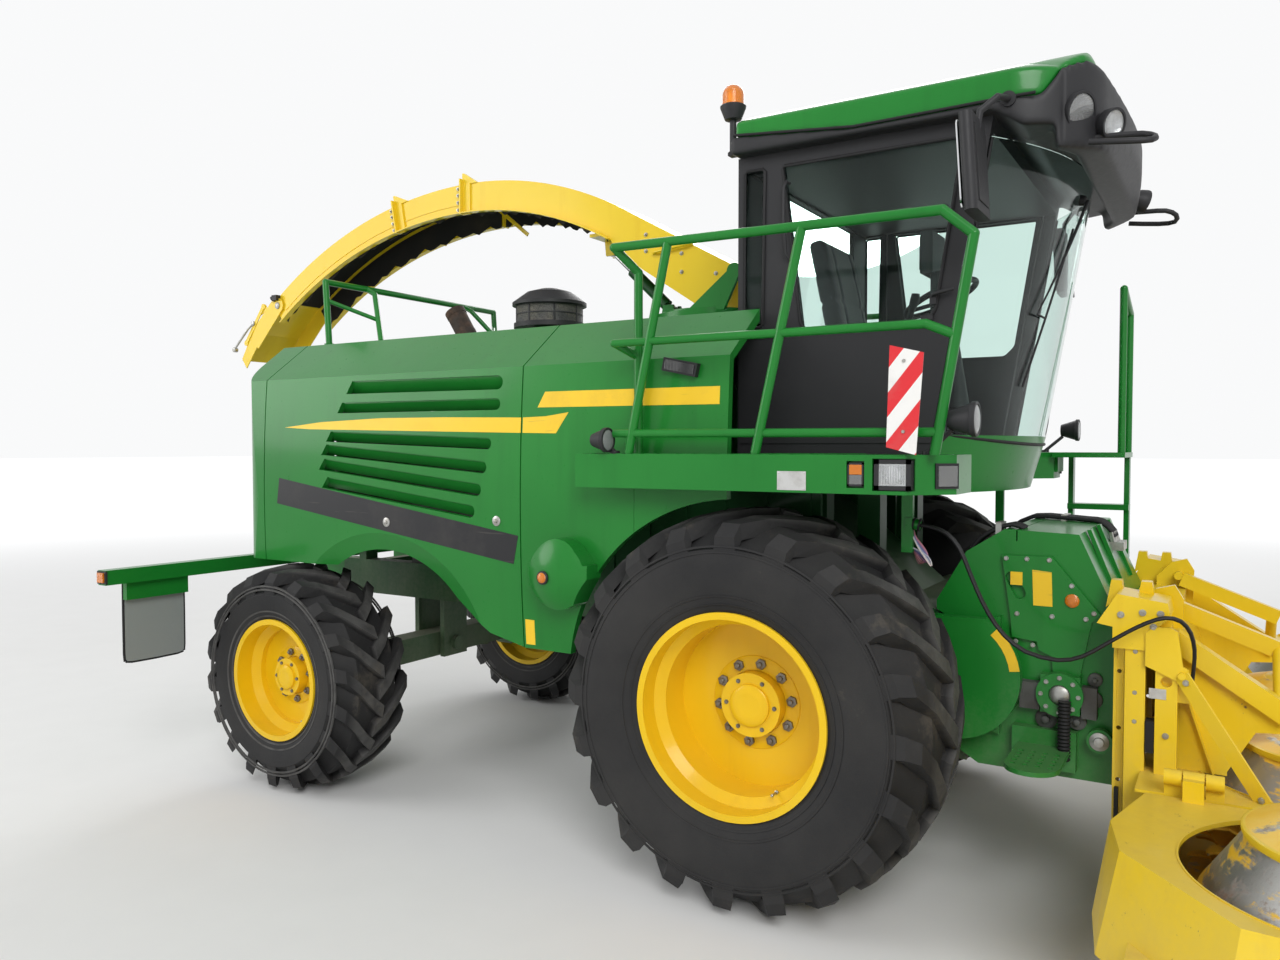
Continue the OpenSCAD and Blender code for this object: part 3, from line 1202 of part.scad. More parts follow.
module wing() {
    difference() {
        union() {
            rod([fold_x + 65, split_y, fold_z], [fold_x + 135, split_y, fold_z], fold_r);
            box([fold_x + 65, split_y + 9, cowl_z - 10], [fold_x + 135, split_y + 60, fold_z + 10]);
        }
        rod([fold_x, split_y, fold_z], [fold_x + 200, split_y, fold_z], fold_pin_r + pin_gap);
    }
    difference() {
        cowl_block(0);
        cowl_block(sheet_t);
        translate([rotor_x, split_y + half_pitch, 0]) cylinder(h = 1000, r = cowl_hole);
        box([2300, 1100, 0], [3000, split_y + half_pitch + 330, 1000]);
    }
    box([beam_x[0], split_y + split_gap, 300], [beam_x[1], 2080, 560]);
    box([1700, split_y + split_gap, 238], [2420, 2100, 256]);
    box([1640, split_y + split_gap, 238], [1720, 2000, 320]);
    translate([rotor_x, split_y + half_pitch, 250]) cylinder(h = 55, r = 210);
    translate([rotor_x, split_y + half_pitch, 250]) cylinder(h = 500, r = spindle_up_r);
    divider(2175, 95, divider_x + 60, divider_tip, 700);
}

module header_wing_right() placed(yellow) right_side() wing();
module header_wing_left() placed(yellow) wing();

teeth = 14;
module tooth_ring(r, t) linear_extrude(t) {
    circle(r = r - 85);
    for (i = [0 : teeth - 1]) rotate(i * 360 / teeth)
        polygon([[r - 100, -45], [r - 100, 45], [r - 30, 40], [r, 62], [r - 8, 30], [r - 45, -20]]);
}

module rotor() difference() {
    union() {
        translate([0, 0, knife_z + 10]) cylinder(h = 12, r = rotor_r);
        for (z = [390, 490, 590]) translate([0, 0, z]) tooth_ring(rotor_r, 10);
        translate([0, 0, knife_z + 15]) cylinder(h = 420, r = 300);
        translate([0, 0, 700]) cylinder(h = 210, r1 = 470, r2 = 335);
        translate([0, 0, 910]) cylinder(h = 24, r = 340);
        translate([0, 0, 934]) cylinder(h = 30, r1 = 340, r2 = 250);
    }
    translate([0, 0, 200]) cylinder(h = 560, r = spindle_up_r + pin_gap);
}

module rotor_at(y) placed(yellow) translate([rotor_x, y, 0]) rotor();

// The pair of cables that hangs from the socket under the platform to the throat frame
cable_r = 7.5;
cable_apart = 17;
cable_end = 1170;
cable_route = [[721.4, 985, 1783.8], [775, 988, 1777], [840, 993, 1752], [895, 997, 1690], [935, 1001, 1602],
    [975, 1006, 1510], [1022, 1010, 1420], [1085, 1011, 1335], [1175, 1009, 1270],
    [1300, 1003, 1248], [1390, 995, 1272], [1470, 975, 1325], [1545, 955, 1378], [1620, 938, 1424],
    [1685, 925, 1448], [1738, 905, 1436], [1772, 880, 1388], [1786, 860, 1318], [1784, 850, 1245],
    [1778, 850, cable_end + 1.1]];
function route_at(p, i) = p[max(0, min(len(p) - 1, i))];
function midway(p, i) = (9 * (p[i] + p[i + 1]) - route_at(p, i - 1) - route_at(p, i + 2)) / 16;
function finer(p) = [for (i = [0 : len(p) - 2]) each [p[i], midway(p, i)], p[len(p) - 1]];
function along(p, i) = let (d = route_at(p, i + 1) - route_at(p, i - 1)) d / norm(d);
function unit(v) = v / norm(v);
sides = 8;
module cable(p) {
    n = len(p);
    polyhedron(points = [for (i = [0 : n - 1]) let (d = along(p, i), u = unit(cross(d, [0, 1, 0])), v = cross(d, u))
        for (j = [0 : sides - 1]) p[i] + cable_r * (cos(j * 360 / sides) * u + sin(j * 360 / sides) * v)],
        faces = concat([[for (j = [0 : sides - 1]) j]], [[for (j = [0 : sides - 1]) n * sides - 1 - j]],
            [for (i = [0 : n - 2], j = [0 : sides - 1]) [i * sides + j, (i + 1) * sides + j, i * sides + (j + 1) % sides]],
            [for (i = [0 : n - 2], j = [0 : sides - 1]) [i * sides + (j + 1) % sides, (i + 1) * sides + j,
                (i + 1) * sides + (j + 1) % sides]]));
}

module header_cable() placed(tyre_black) right_side()
    for (s = [-1, 1]) translate([0, s * cable_apart / 2, 0]) cable(finer(cable_route));

main_frame();
front_axle();
engine_block();
rear_axle();
placed(dark_green) right_side() knuckle();  // knuckle_right
placed(dark_green) knuckle();  // knuckle_left
tie_rod();
placed(yellow) right_side() at_wheel(front_kind, 0) rim(front_kind);  // rim_front_right
placed(yellow) at_wheel(front_kind, 0) rim(front_kind);  // rim_front_left
placed(yellow) right_side() at_wheel(rear_kind, rear_x) rim(rear_kind);  // rim_rear_right
placed(yellow) at_wheel(rear_kind, rear_x) rim(rear_kind);  // rim_rear_left
placed(tyre_black) right_side() at_wheel(front_kind, 0) tyre(front_kind);  // tyre_front_right
placed(tyre_black) at_wheel(front_kind, 0) tyre(front_kind);  // tyre_front_left
placed(tyre_black) right_side() at_wheel(rear_kind, rear_x) tyre(rear_kind);  // tyre_rear_right
placed(tyre_black) at_wheel(rear_kind, rear_x) tyre(rear_kind);  // tyre_rear_left
side_panels();
rear_panel();
hood_deck();
right_side() hood_door();  // hood_door_right
hood_door();  // hood_door_left
air_intake();
exhaust();
spout_cradle();
rear_light_arms();
reflector_plates();
platforms();
railings();
ladder();
cab_body();
cab_door();
door_glass();
cab_windows();
windscreen();
cab_skirt();
roof_fascia();
roof_cap();
cab_fittings();
seat();
mirrors();
lamps();
beacon();
cutter_housing();
turntable();
spout();
spout_flap();
spout_barrel();
spout_rod();
feeder_house();
lift_barrels();
lift_rods();
drive_covers();
header_frame();
header_wing_right();
header_wing_left();
rotor_at(-split_y - half_pitch);  // rotor_outer_right
rotor_at(-half_pitch);  // rotor_inner_right
rotor_at(half_pitch);  // rotor_inner_left
rotor_at(split_y + half_pitch);  // rotor_outer_left
header_cable();
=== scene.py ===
# Looks for the forage harvester: paint, rubber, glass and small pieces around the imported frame
import math

import bmesh
import bpy
from mathutils import Matrix, Vector


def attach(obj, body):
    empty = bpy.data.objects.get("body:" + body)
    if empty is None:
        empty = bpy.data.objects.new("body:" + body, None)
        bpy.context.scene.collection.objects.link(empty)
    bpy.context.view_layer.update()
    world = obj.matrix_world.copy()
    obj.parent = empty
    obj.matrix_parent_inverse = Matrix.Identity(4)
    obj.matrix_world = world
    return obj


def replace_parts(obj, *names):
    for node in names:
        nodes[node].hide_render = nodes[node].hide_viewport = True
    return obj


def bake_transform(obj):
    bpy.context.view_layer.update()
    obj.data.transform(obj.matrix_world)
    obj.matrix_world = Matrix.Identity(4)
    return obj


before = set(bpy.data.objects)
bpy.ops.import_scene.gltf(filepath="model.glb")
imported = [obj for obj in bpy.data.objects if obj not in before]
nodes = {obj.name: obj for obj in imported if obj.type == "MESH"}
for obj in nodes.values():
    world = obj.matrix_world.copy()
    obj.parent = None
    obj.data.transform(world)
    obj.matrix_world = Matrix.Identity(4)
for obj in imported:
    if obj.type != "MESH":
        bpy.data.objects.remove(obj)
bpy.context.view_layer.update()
print("frame loaded")


# The front axle's place along the machine; places below are millimetres from it, on the ground
axleRow = 0.76094


def at(x, y, z):
    return Vector((x / 1000 + axleRow, y / 1000, z / 1000))


# Camera and room

camera = {"place": at(1920, -5300, 2130), "turn": 31.75, "tilt": -1.93, "lens": 27.17}
view = bpy.data.objects.new("camera", bpy.data.cameras.new("camera"))
view.location = camera["place"]
view.rotation_euler = (math.radians(90 + camera["tilt"]), 0, math.radians(camera["turn"]))
view.data.lens = camera["lens"]
view.data.sensor_width = 36
view.data.clip_end = 400
bpy.context.collection.objects.link(view)
bpy.context.scene.camera = view
bpy.context.scene.view_settings.view_transform = "Standard"


# Shader kit: a wrapped socket takes part in plain expressions

class Val:
    def __init__(self, kit, socket):
        self.kit = kit
        self.socket = socket

    def __add__(self, other): return self.kit.math("ADD", self, other)
    def __radd__(self, other): return self.kit.math("ADD", other, self)
    def __sub__(self, other): return self.kit.math("SUBTRACT", self, other)
    def __rsub__(self, other): return self.kit.math("SUBTRACT", other, self)
    def __mul__(self, other): return self.kit.math("MULTIPLY", self, other)
    def __rmul__(self, other): return self.kit.math("MULTIPLY", other, self)
    def __truediv__(self, other): return self.kit.math("DIVIDE", self, other)
    def __rtruediv__(self, other): return self.kit.math("DIVIDE", other, self)
    def __pow__(self, other): return self.kit.math("POWER", self, other)


class NodeKit:
    def __init__(self, tree):
        self.tree = tree

    # any node: its settings first, then values or links for its sockets
    def add(self, kind, settings=None, inputs=None, out=0):
        node = self.tree.nodes.new(kind)
        for key, value in (settings or {}).items():
            if key == "stops":
                stops = node.color_ramp.elements
                stops.remove(stops[-1])
                stops[0].position = value[0][0]
                stops[0].color = (*value[0][1], 1)
                for where, shade in value[1:]:
                    stops.new(where).color = (*shade, 1)
            else:
                setattr(node, key, value)
        for key, value in (inputs or {}).items():
            self.plug(node.inputs[key], value)
        return Val(self, node.outputs[out])

    def plug(self, socket, value):
        if isinstance(value, Val):
            self.tree.links.new(value.socket, socket)
        elif isinstance(value, tuple) and socket.type == "RGBA":
            socket.default_value = (*value, 1)
        else:
            socket.default_value = value

    def math(self, kind, first, second=0.0):
        return self.add("ShaderNodeMath", {"operation": kind}, {0: first, 1: second})

    # 0 below low, 1 above high, or any two other values
    def ramp(self, value, low, high, first=0.0, last=1.0):
        return self.add("ShaderNodeMapRange", {"clamp": True},
                        {"Value": value, "From Min": low, "From Max": high, "To Min": first, "To Max": last})

    # 1 for rays that should meet the pale background
    def seenRays(self):
        seen = self.add("ShaderNodeLightPath", out="Is Camera Ray")
        for ray in ("Is Glossy Ray", "Is Transmission Ray"):
            seen = self.math("MAXIMUM", seen, self.add("ShaderNodeLightPath", out=ray))
        return seen


class Paint(NodeKit):
    def __init__(self, name, **fixed):
        self.material = bpy.data.materials.new(name)
        self.material.use_nodes = True
        super().__init__(self.material.node_tree)
        self.shader = self.tree.nodes["Principled BSDF"]
        self.finish(**fixed)
        self.place = self.add("ShaderNodeTexCoord", out="Object")

    def stretch(self, x, y, z):
        return self.add("ShaderNodeMapping", {"vector_type": "POINT"}, {"Vector": self.place, "Scale": (x, y, z)})

    def noise(self, scale, detail=4.0, rough=0.55, where=None):
        return self.add("ShaderNodeTexNoise", None,
                        {"Vector": where or self.place, "Scale": scale, "Detail": detail, "Roughness": rough})

    def cells(self, scale, feature="F1"):
        return self.add("ShaderNodeTexVoronoi", {"feature": feature}, {"Vector": self.place, "Scale": scale})

    def bands(self, way, scale, **more):
        return self.axis("X", self.add("ShaderNodeTexWave", {"wave_type": "BANDS", "bands_direction": way},
                                       {"Vector": self.place, "Scale": scale, **more}))

    def mix(self, first, second, mask):
        return self.add("ShaderNodeMix", {"data_type": "RGBA"}, {0: mask, 6: first, 7: second}, out=2)

    # one colour over another, each with its mask
    def layers(self, colour, *coats):
        for shade, mask in coats:
            colour = self.mix(colour, shade, mask)
        return colour

    def axis(self, name, source=None):
        return self.add("ShaderNodeSeparateXYZ", None, {0: source or self.place}, out=name)

    def facing(self):
        return self.axis("Z", self.add("ShaderNodeTexCoord", out="Normal"))

    def bump(self, height, strength, distance, over=None):
        inputs = {"Height": height, "Strength": strength, "Distance": distance}
        if over:
            inputs["Normal"] = over
        return self.add("ShaderNodeBump", None, inputs)

    def finish(self, **sockets):
        for key, value in sockets.items():
            self.plug(self.shader.inputs[key.replace("_", " ")], value)
        return self.material


# Coated sheet: broad fading, rain streaks, dust low down and on what faces up, small chips
def coatedSheet(name, **look):
    p = Paint(name, IOR=1.5, Coat_Roughness=0.1, Specular_IOR_Level=0.2)
    broad = p.noise(0.9, 5)
    fine = p.noise(38, 6, 0.7)
    streaks = p.noise(1.0, 5, 0.6, p.stretch(9, 9, 0.7))
    low = p.ramp(p.axis("Z"), look["dustTop"], 0.1)
    up = p.ramp(p.facing(), 0.5, 1.0)
    dust = p.ramp(low * 0.8 + up * look["dustUp"] + broad * 0.7 + fine * 0.35 + streaks * 0.3, 1.0, 1.9)
    dust = dust * look["dust"]
    chips = p.ramp(p.noise(19, 9, 0.78) + (p.noise(2.3, 3) - 0.5) * 0.35,
                   look["chipLimit"], look["chipLimit"] + 0.02)
    colour = p.layers(look["colour"], (look["faded"], p.ramp(broad, 0.35, 0.7) * 0.7),
                      (look["deep"], p.ramp(streaks, 0.55, 0.8) * 0.35), (look["dustColour"], dust),
                      (look["under"], chips))
    rough = look["rough"] + fine * 0.1 + dust * 0.45 + chips * 0.3
    soft = p.bump(p.noise(1.7, 2), 0.12, 0.02)
    grain = p.bump(fine * 0.4 + chips * -1.2 + dust * 0.5, 0.3, 0.0009, soft)
    return p.finish(Base_Color=colour, Roughness=rough, Normal=grain,
                    Coat_Weight=p.ramp(dust + chips, 0.0, 0.6, look["coat"], 0.0))


# Rubber with paler worn tips, mud in the tread and fine cracks
def tyreRubber(name, **look):
    p = Paint(name, IOR=1.45, Specular_IOR_Level=0.3)
    fine = p.noise(70, 6, 0.7)
    broad = p.noise(2.4, 5)
    x, z = p.axis("X") - look["centre"][0], p.axis("Z") - look["centre"][1]
    reach = (x * x + z * z) ** 0.5
    tip = p.ramp(reach, look["radius"] - 0.035, look["radius"] - 0.008)
    tread = p.ramp(reach, look["radius"] - 0.13, look["radius"] - 0.06)
    mud = p.ramp(p.noise(7, 7, 0.7) + broad * 0.5 + tread * 0.12, look["mudLimit"], look["mudLimit"] + 0.3)
    colour = p.layers((0.017, 0.017, 0.018), ((0.034, 0.033, 0.032), p.ramp(broad, 0.3, 0.75)),
                      ((0.085, 0.083, 0.08), tip * p.ramp(p.noise(11, 6), 0.3, 0.6, 0.35, 1.0)),
                      ((0.17, 0.145, 0.11), mud * 0.5))
    cracks = p.ramp(p.cells(55, "DISTANCE_TO_EDGE"), 0.0, 0.05)
    return p.finish(Base_Color=colour, Roughness=0.58 + fine * 0.2 + mud * 0.2,
                    Normal=p.bump(fine + mud * 0.8 + cracks * 0.2, 0.45, 0.0016))


def mouldedPlastic(name, **look):
    p = Paint(name, IOR=1.46, Specular_IOR_Level=0.32)
    grain = p.cells(420)
    broad = p.noise(1.8, 5)
    fine = p.noise(45, 6, 0.65)
    up = p.ramp(p.facing(), 0.3, 1.0)
    haze = p.ramp(broad * 0.8 + up * 0.35 + fine * 0.3, 0.55, 1.15) * look["haze"]
    colour = p.mix(look["colour"], look["faded"], haze)
    return p.finish(Base_Color=colour, Roughness=look["rough"] + fine * 0.16 + haze * 0.2,
                    Normal=p.bump(grain * 0.5 + fine * 0.4, 0.3, 0.0006))


def rustySteel(name, **look):
    p = Paint(name)
    crust = p.noise(22, 9, 0.72)
    broad = p.noise(3.2, 6)
    heat = p.ramp(p.axis("Z"), look["low"], look["high"])
    colour = p.layers((0.105, 0.045, 0.022), ((0.29, 0.125, 0.05), p.ramp(crust, 0.35, 0.65)),
                      ((0.055, 0.042, 0.036), p.ramp(broad + heat * 0.3, 0.5, 0.85)))
    return p.finish(Base_Color=colour, Roughness=0.68 + crust * 0.25, Metallic=p.ramp(crust, 0.4, 0.6, 0.5, 0.1),
                    Normal=p.bump(crust + broad * 0.5, 0.6, 0.002))


# Worn coat over bare steel, rubbed bright on the rotor's cone
def wornSteel(name, **look):
    p = Paint(name)
    rub = p.noise(6, 9, 0.7)
    swirl = p.noise(3.0, 6, 0.6, p.stretch(1, 1, 14))
    fine = p.noise(90, 5, 0.7)
    height = p.axis("Z")
    band = p.ramp(height, look["low"], look["low"] + 0.03) * p.ramp(height, look["high"], look["high"] - 0.02)
    bare = p.ramp(rub * 0.75 + swirl * 0.4 + band * 0.16, look["bareLimit"], look["bareLimit"] + 0.06)
    rust = p.ramp(p.noise(14, 8, 0.75) + rub * 0.3, 0.68, 0.85) * bare
    colour = p.layers(look["colour"], (look["faded"], p.ramp(rub, 0.35, 0.65)), ((0.36, 0.355, 0.34), bare),
                      ((0.2, 0.1, 0.05), rust * 0.7))
    return p.finish(Base_Color=colour, Roughness=0.34 + fine * 0.2 + rust * 0.3, Metallic=bare * (1 - rust) * 0.85,
                    Normal=p.bump(fine + bare * -0.8 + rust * 0.7, 0.4, 0.001))


def brightMetal(name, **look):
    p = Paint(name, Metallic=look["metal"])
    fine = p.noise(120, 4, 0.6, p.stretch(1, 12, 1))
    film = p.ramp(p.noise(look["patch"], 6), 0.45, 0.75)
    return p.finish(Base_Color=p.mix(look["colour"], look["stain"], film * 0.6),
                    Roughness=look["rough"] + fine * 0.12 + film * 0.25, Normal=p.bump(fine, 0.12, 0.0004))


def castIron(name, **look):
    p = Paint(name)
    sand = p.noise(130, 6, 0.7)
    oil = p.ramp(p.noise(4.5, 7), 0.42, 0.7)
    colour = p.mix(look["colour"], (0.035, 0.03, 0.026), oil)
    return p.finish(Base_Color=colour, Roughness=0.7 - oil * 0.3 + sand * 0.1, Normal=p.bump(sand, 0.5, 0.0018))


def cabGlass(name, **look):
    p = Paint(name, Transmission_Weight=1.0, IOR=1.2, Base_Color=look["tint"])
    film = p.ramp(p.noise(2.2, 7, 0.65), 0.45, 0.8)
    return p.finish(Roughness=0.01 + film * 0.03, Normal=p.bump(film, 0.02, 0.0004))


def colouredLens(name, **look):
    p = Paint(name, Transmission_Weight=look["clear"], IOR=1.49, Coat_Weight=0.3)
    dull = p.noise(25, 4)
    return p.finish(Base_Color=p.mix(look["colour"], look["deep"], dull), Roughness=0.08 + dull * 0.12,
                    Normal=p.bump(p.bands(look["ribWay"], look["ribs"]), 0.35, 0.002))


def wovenCloth(name, **look):
    p = Paint(name, Sheen_Weight=0.35, Sheen_Roughness=0.5)
    worn = p.noise(5, 6)
    weave = p.bands("Y", 160, Distortion=1.5) * 0.5 + p.bands("Z", 160, Distortion=1.5) * 0.5
    colour = p.layers(look["colour"], (look["faded"], p.ramp(worn, 0.35, 0.75)), (look["deep"], weave * 0.35))
    return p.finish(Base_Color=colour, Roughness=0.85 + worn * 0.1, Normal=p.bump(weave, 0.5, 0.0012))


# Printed film laid on the paint, with faint scratches and grime at random
def surfaceFilm(name, **look):
    p = Paint(name, IOR=1.48, Coat_Weight=0.2, Coat_Roughness=0.2, Specular_IOR_Level=0.3)
    fine = p.noise(60, 6, 0.7)
    grime = p.ramp(p.noise(3.5, 7, 0.7), 0.5, 0.78)
    scratch = p.ramp(p.noise(9, 4, 0.5, p.stretch(0.4, 1, 6)), 0.66, 0.7)
    colour = p.layers(look["colour"], (look["grime"], grime * 0.45), (look["grime"], scratch * 0.5))
    return p.finish(Base_Color=colour, Roughness=0.32 + fine * 0.15 + grime * 0.25,
                    Normal=p.bump(fine - scratch * 0.6, 0.15, 0.0005))


# Slanting red and white bands of the warning board
def slantedBands(name, **look):
    p = Paint(name, IOR=1.5, Coat_Weight=0.3)
    slope = (p.axis("Z") - p.axis("X") * look["slope"]) / look["pitch"]
    band = p.ramp(p.math("FRACT", slope), 0.49, 0.51)
    grime = p.ramp(p.noise(6, 7, 0.7), 0.5, 0.8)
    colour = p.layers(look["first"], (look["second"], band), ((0.25, 0.22, 0.19), grime * 0.25))
    return p.finish(Base_Color=colour, Roughness=0.3 + grime * 0.3, Normal=p.bump(p.cells(300), 0.2, 0.0004))


def meshScreen(name, **look):
    p = Paint(name, Metallic=0.3)
    # the holes are painted near black: painted shade of the dark space behind the screen; the dust on the wires is
    # real
    shadedHoles = p.ramp(p.cells(look["scale"]), 0.28, 0.42)
    dust = p.ramp(p.noise(6, 6), 0.4, 0.75)
    colour = p.mix((0.008, 0.008, 0.008), p.mix((0.07, 0.07, 0.07), (0.2, 0.18, 0.14), dust), shadedHoles)
    return p.finish(Base_Color=colour, Roughness=0.55 + dust * 0.3, Normal=p.bump(shadedHoles, 0.6, 0.002))


# Several thin leads in one finish, told apart by their place across the bundle
def leadColours(name, **look):
    p = Paint(name, IOR=1.46)
    fine = p.noise(80, 4)
    step = p.ramp(p.axis("Y"), look["low"], look["high"]) + fine * 0.02
    colour = p.add("ShaderNodeValToRGB", {"stops": look["stops"]}, {"Fac": step})
    return p.finish(Base_Color=p.mix(colour, (0.06, 0.055, 0.05), p.ramp(fine, 0.5, 0.7) * 0.4),
                    Roughness=0.4 + fine * 0.2, Normal=p.bump(fine, 0.2, 0.0005))


greens = {"colour": (0.009, 0.165, 0.020), "faded": (0.018, 0.220, 0.030), "deep": (0.006, 0.105, 0.013),
          "under": (0.10, 0.11, 0.08), "dustColour": (0.34, 0.31, 0.25), "dustTop": 1.5, "dust": 0.5, "dustUp": 0.15,
          "rough": 0.24, "chipLimit": 0.80, "coat": 0.18}
darkGreens = {**greens, "colour": (0.012, 0.075, 0.02), "faded": (0.022, 0.10, 0.03), "rough": 0.38,
              "dustTop": 2.2, "dust": 0.8, "dustUp": 0.4, "chipLimit": 0.7, "coat": 0.15}
yellows = {**greens, "colour": (0.80, 0.54, 0.010), "faded": (0.84, 0.62, 0.045), "deep": (0.66, 0.38, 0.010),
           "under": (0.20, 0.12, 0.06), "dustTop": 1.0, "dust": 0.3, "dustUp": 0.1, "rough": 0.26,
           "chipLimit": 0.74, "coat": 0.15}
rimYellow = {**yellows, "colour": (0.80, 0.50, 0.006), "faded": (0.84, 0.56, 0.02), "dust": 0.15, "chipLimit": 0.84}
headerYellow = {**yellows, "dustTop": 1.6, "dust": 0.45, "dustUp": 0.3, "chipLimit": 0.665, "coat": 0.2}
leads = [(0.0, (0.5, 0.02, 0.02)), (0.25, (0.75, 0.72, 0.7)), (0.45, (0.05, 0.12, 0.4)),
         (0.65, (0.7, 0.25, 0.3)), (0.85, (0.03, 0.03, 0.03))]


# finishes of one kind, from rows of key, name and the kind's values
def family(kind, words, *rows):
    return {key: kind(name, **dict(zip(words.split(), look))) for key, name, *look in rows}


finishes = {
    "green": coatedSheet("greenPaint", **greens),
    "darkGreen": coatedSheet("chassisPaint", **darkGreens),
    "yellow": coatedSheet("yellowPaint", **yellows),
    "rimYellow": coatedSheet("rimPaint", **rimYellow),
    "headerYellow": coatedSheet("headerPaint", **headerYellow),
    **family(tyreRubber, "mudLimit centre radius",
        ("tyre", "sidewallRubber", 0.95, (axleRow, 0.925), 2.0),
        ("frontTyre", "frontTyreRubber", 0.92, (axleRow, 0.925), 0.925),
        ("rearTyre", "rearTyreRubber", 0.92, (axleRow - 3.1, 0.7), 0.7)),
    **family(mouldedPlastic, "colour faded haze rough",
        ("plastic", "cabPlastic", (0.022, 0.022, 0.024), (0.06, 0.06, 0.062), 0.5, 0.42),
        ("greyPlastic", "greyPlastic", (0.25, 0.27, 0.26), (0.38, 0.38, 0.36), 0.7, 0.5),
        ("rubber", "sealRubber", (0.012, 0.012, 0.013), (0.04, 0.038, 0.036), 0.4, 0.55),
        ("cableSkin", "cableSkin", (0.010, 0.010, 0.011), (0.035, 0.033, 0.03), 0.4, 0.4),
        # near-black with brown stains, used as painted shade inside the spout
        ("liner", "linerRubber", (0.014, 0.013, 0.012), (0.07, 0.055, 0.035), 0.9, 0.7),
        # near-black soot, also painted shade where it closes the pipe's mouth
        ("soot", "pipeSoot", (0.004, 0.004, 0.004), (0.02, 0.014, 0.01), 0.6, 0.85)),
    **family(brightMetal, "colour stain metal rough patch",
        ("rod", "pistonSteel", (0.62, 0.62, 0.63), (0.34, 0.31, 0.27), 1.0, 0.1, 9),
        ("zinc", "platedSteel", (0.42, 0.42, 0.40), (0.20, 0.15, 0.10), 0.85, 0.3, 30),
        ("nutSteel", "nutSteel", (0.20, 0.19, 0.17), (0.09, 0.06, 0.04), 0.6, 0.35, 25),
        ("alloy", "plateAlloy", (0.55, 0.55, 0.54), (0.3, 0.29, 0.27), 0.7, 0.35, 14),
        ("bowl", "lampBowl", (0.8, 0.8, 0.82), (0.6, 0.6, 0.6), 1.0, 0.12, 8),
        ("mirror", "mirrorFace", (0.75, 0.77, 0.78), (0.6, 0.6, 0.6), 1.0, 0.02, 5)),
    **family(colouredLens, "clear ribs ribWay colour deep",
        ("amber", "amberLens", 0.3, 60, "Z", (0.95, 0.30, 0.01), (0.75, 0.18, 0.008)),
        ("redLens", "redLens", 0.25, 60, "Z", (0.62, 0.02, 0.012), (0.4, 0.01, 0.008)),
        ("clearLens", "clearLens", 0.85, 70, "X", (0.93, 0.94, 0.94), (0.82, 0.84, 0.84)),
        ("workLens", "workLens", 0.2, 90, "Z", (0.36, 0.37, 0.38), (0.24, 0.25, 0.26)),
        ("smokedLens", "smokedLens", 0.1, 40, "X", (0.02, 0.02, 0.022), (0.01, 0.01, 0.012))),
    **family(surfaceFilm, "colour grime",
        ("yellowFilm", "yellowFilm", (0.88, 0.56, 0.02), (0.5, 0.33, 0.05)),
        ("blackFilm", "blackFilm", (0.010, 0.010, 0.012), (0.06, 0.055, 0.05))),
    "rust": rustySteel("rustyPipe", low=2.4, high=3.2),
    "rotor": wornSteel("rotorSteel", colour=(0.78, 0.46, 0.02), faded=(0.80, 0.54, 0.08), bareLimit=0.64,
                       low=0.71, high=0.905),
    "iron": castIron("engineIron", colour=(0.10, 0.105, 0.10)),
    "glass": cabGlass("cabGlass", tint=(0.80, 0.92, 0.88)),
    "striped": slantedBands("warningBands", first=(0.66, 0.012, 0.02), second=(0.80, 0.79, 0.77), slope=1.25,
                            pitch=0.19),
    "screenMesh": meshScreen("screenMesh", scale=190),
    "wires": leadColours("leadColours", low=-1.02, high=-0.90, stops=leads),
    "cloth": wovenCloth("seatCloth", colour=(0.03, 0.03, 0.034), faded=(0.06, 0.06, 0.065),
                        deep=(0.012, 0.012, 0.014)),
}
print("finishes made")

# CAD nodes and what each is coated with
coats = {
    "green": "side_panels rear_panel hood_deck hood_door_right hood_door_left spout_cradle rear_light_arms platforms "
             "railings ladder cab_skirt roof_cap turntable feeder_house drive_covers",
    "darkGreen": "main_frame front_axle rear_axle knuckle_right knuckle_left tie_rod cutter_housing spout_barrel "
                 "lift_barrels",
    "yellow": "spout spout_flap",
    "rimYellow": "rim_front_right rim_front_left rim_rear_right rim_rear_left",
    "headerYellow": "header_frame header_wing_right header_wing_left",
    "rotor": "rotor_outer_right rotor_inner_right rotor_inner_left rotor_outer_left",
    "frontTyre": "tyre_front_right tyre_front_left",
    "rearTyre": "tyre_rear_right tyre_rear_left",
    "cableSkin": "header_cable",
    "plastic": "air_intake cab_body cab_door roof_fascia cab_fittings mirrors lamps",
    "greyPlastic": "reflector_plates",
    "rust": "exhaust",
    "rod": "spout_rod lift_rods",
    "iron": "engine_block",
    "glass": "door_glass cab_windows windscreen",
    "amber": "beacon",
    "cloth": "seat",
}
for coat, names in coats.items():
    for name in names.split():
        nodes[name].data.materials.clear()
        nodes[name].data.materials.append(finishes[coat])


# Forms: one piece is gathered from solid forms, in millimetres from the front axle

upward, rightward = (0, 0, 1), (0, -1, 0)


# places on a circle, as two distances from its middle
def around(count, radius, start=0.0):
    turns = [2 * math.pi * (i + start) / count for i in range(count)]
    return [(radius * math.cos(a), radius * math.sin(a)) for a in turns]


# the same path with one more point in each gap, on a curve through its neighbours
def finerPath(points):
    last = len(points) - 1
    mids = [(points[i] + points[i + 1]) * 0.5625 - (points[max(i - 1, 0)] + points[min(i + 2, last)]) * 0.0625
            for i in range(last)]
    return [p for pair in zip(points, mids) for p in pair] + [points[-1]]


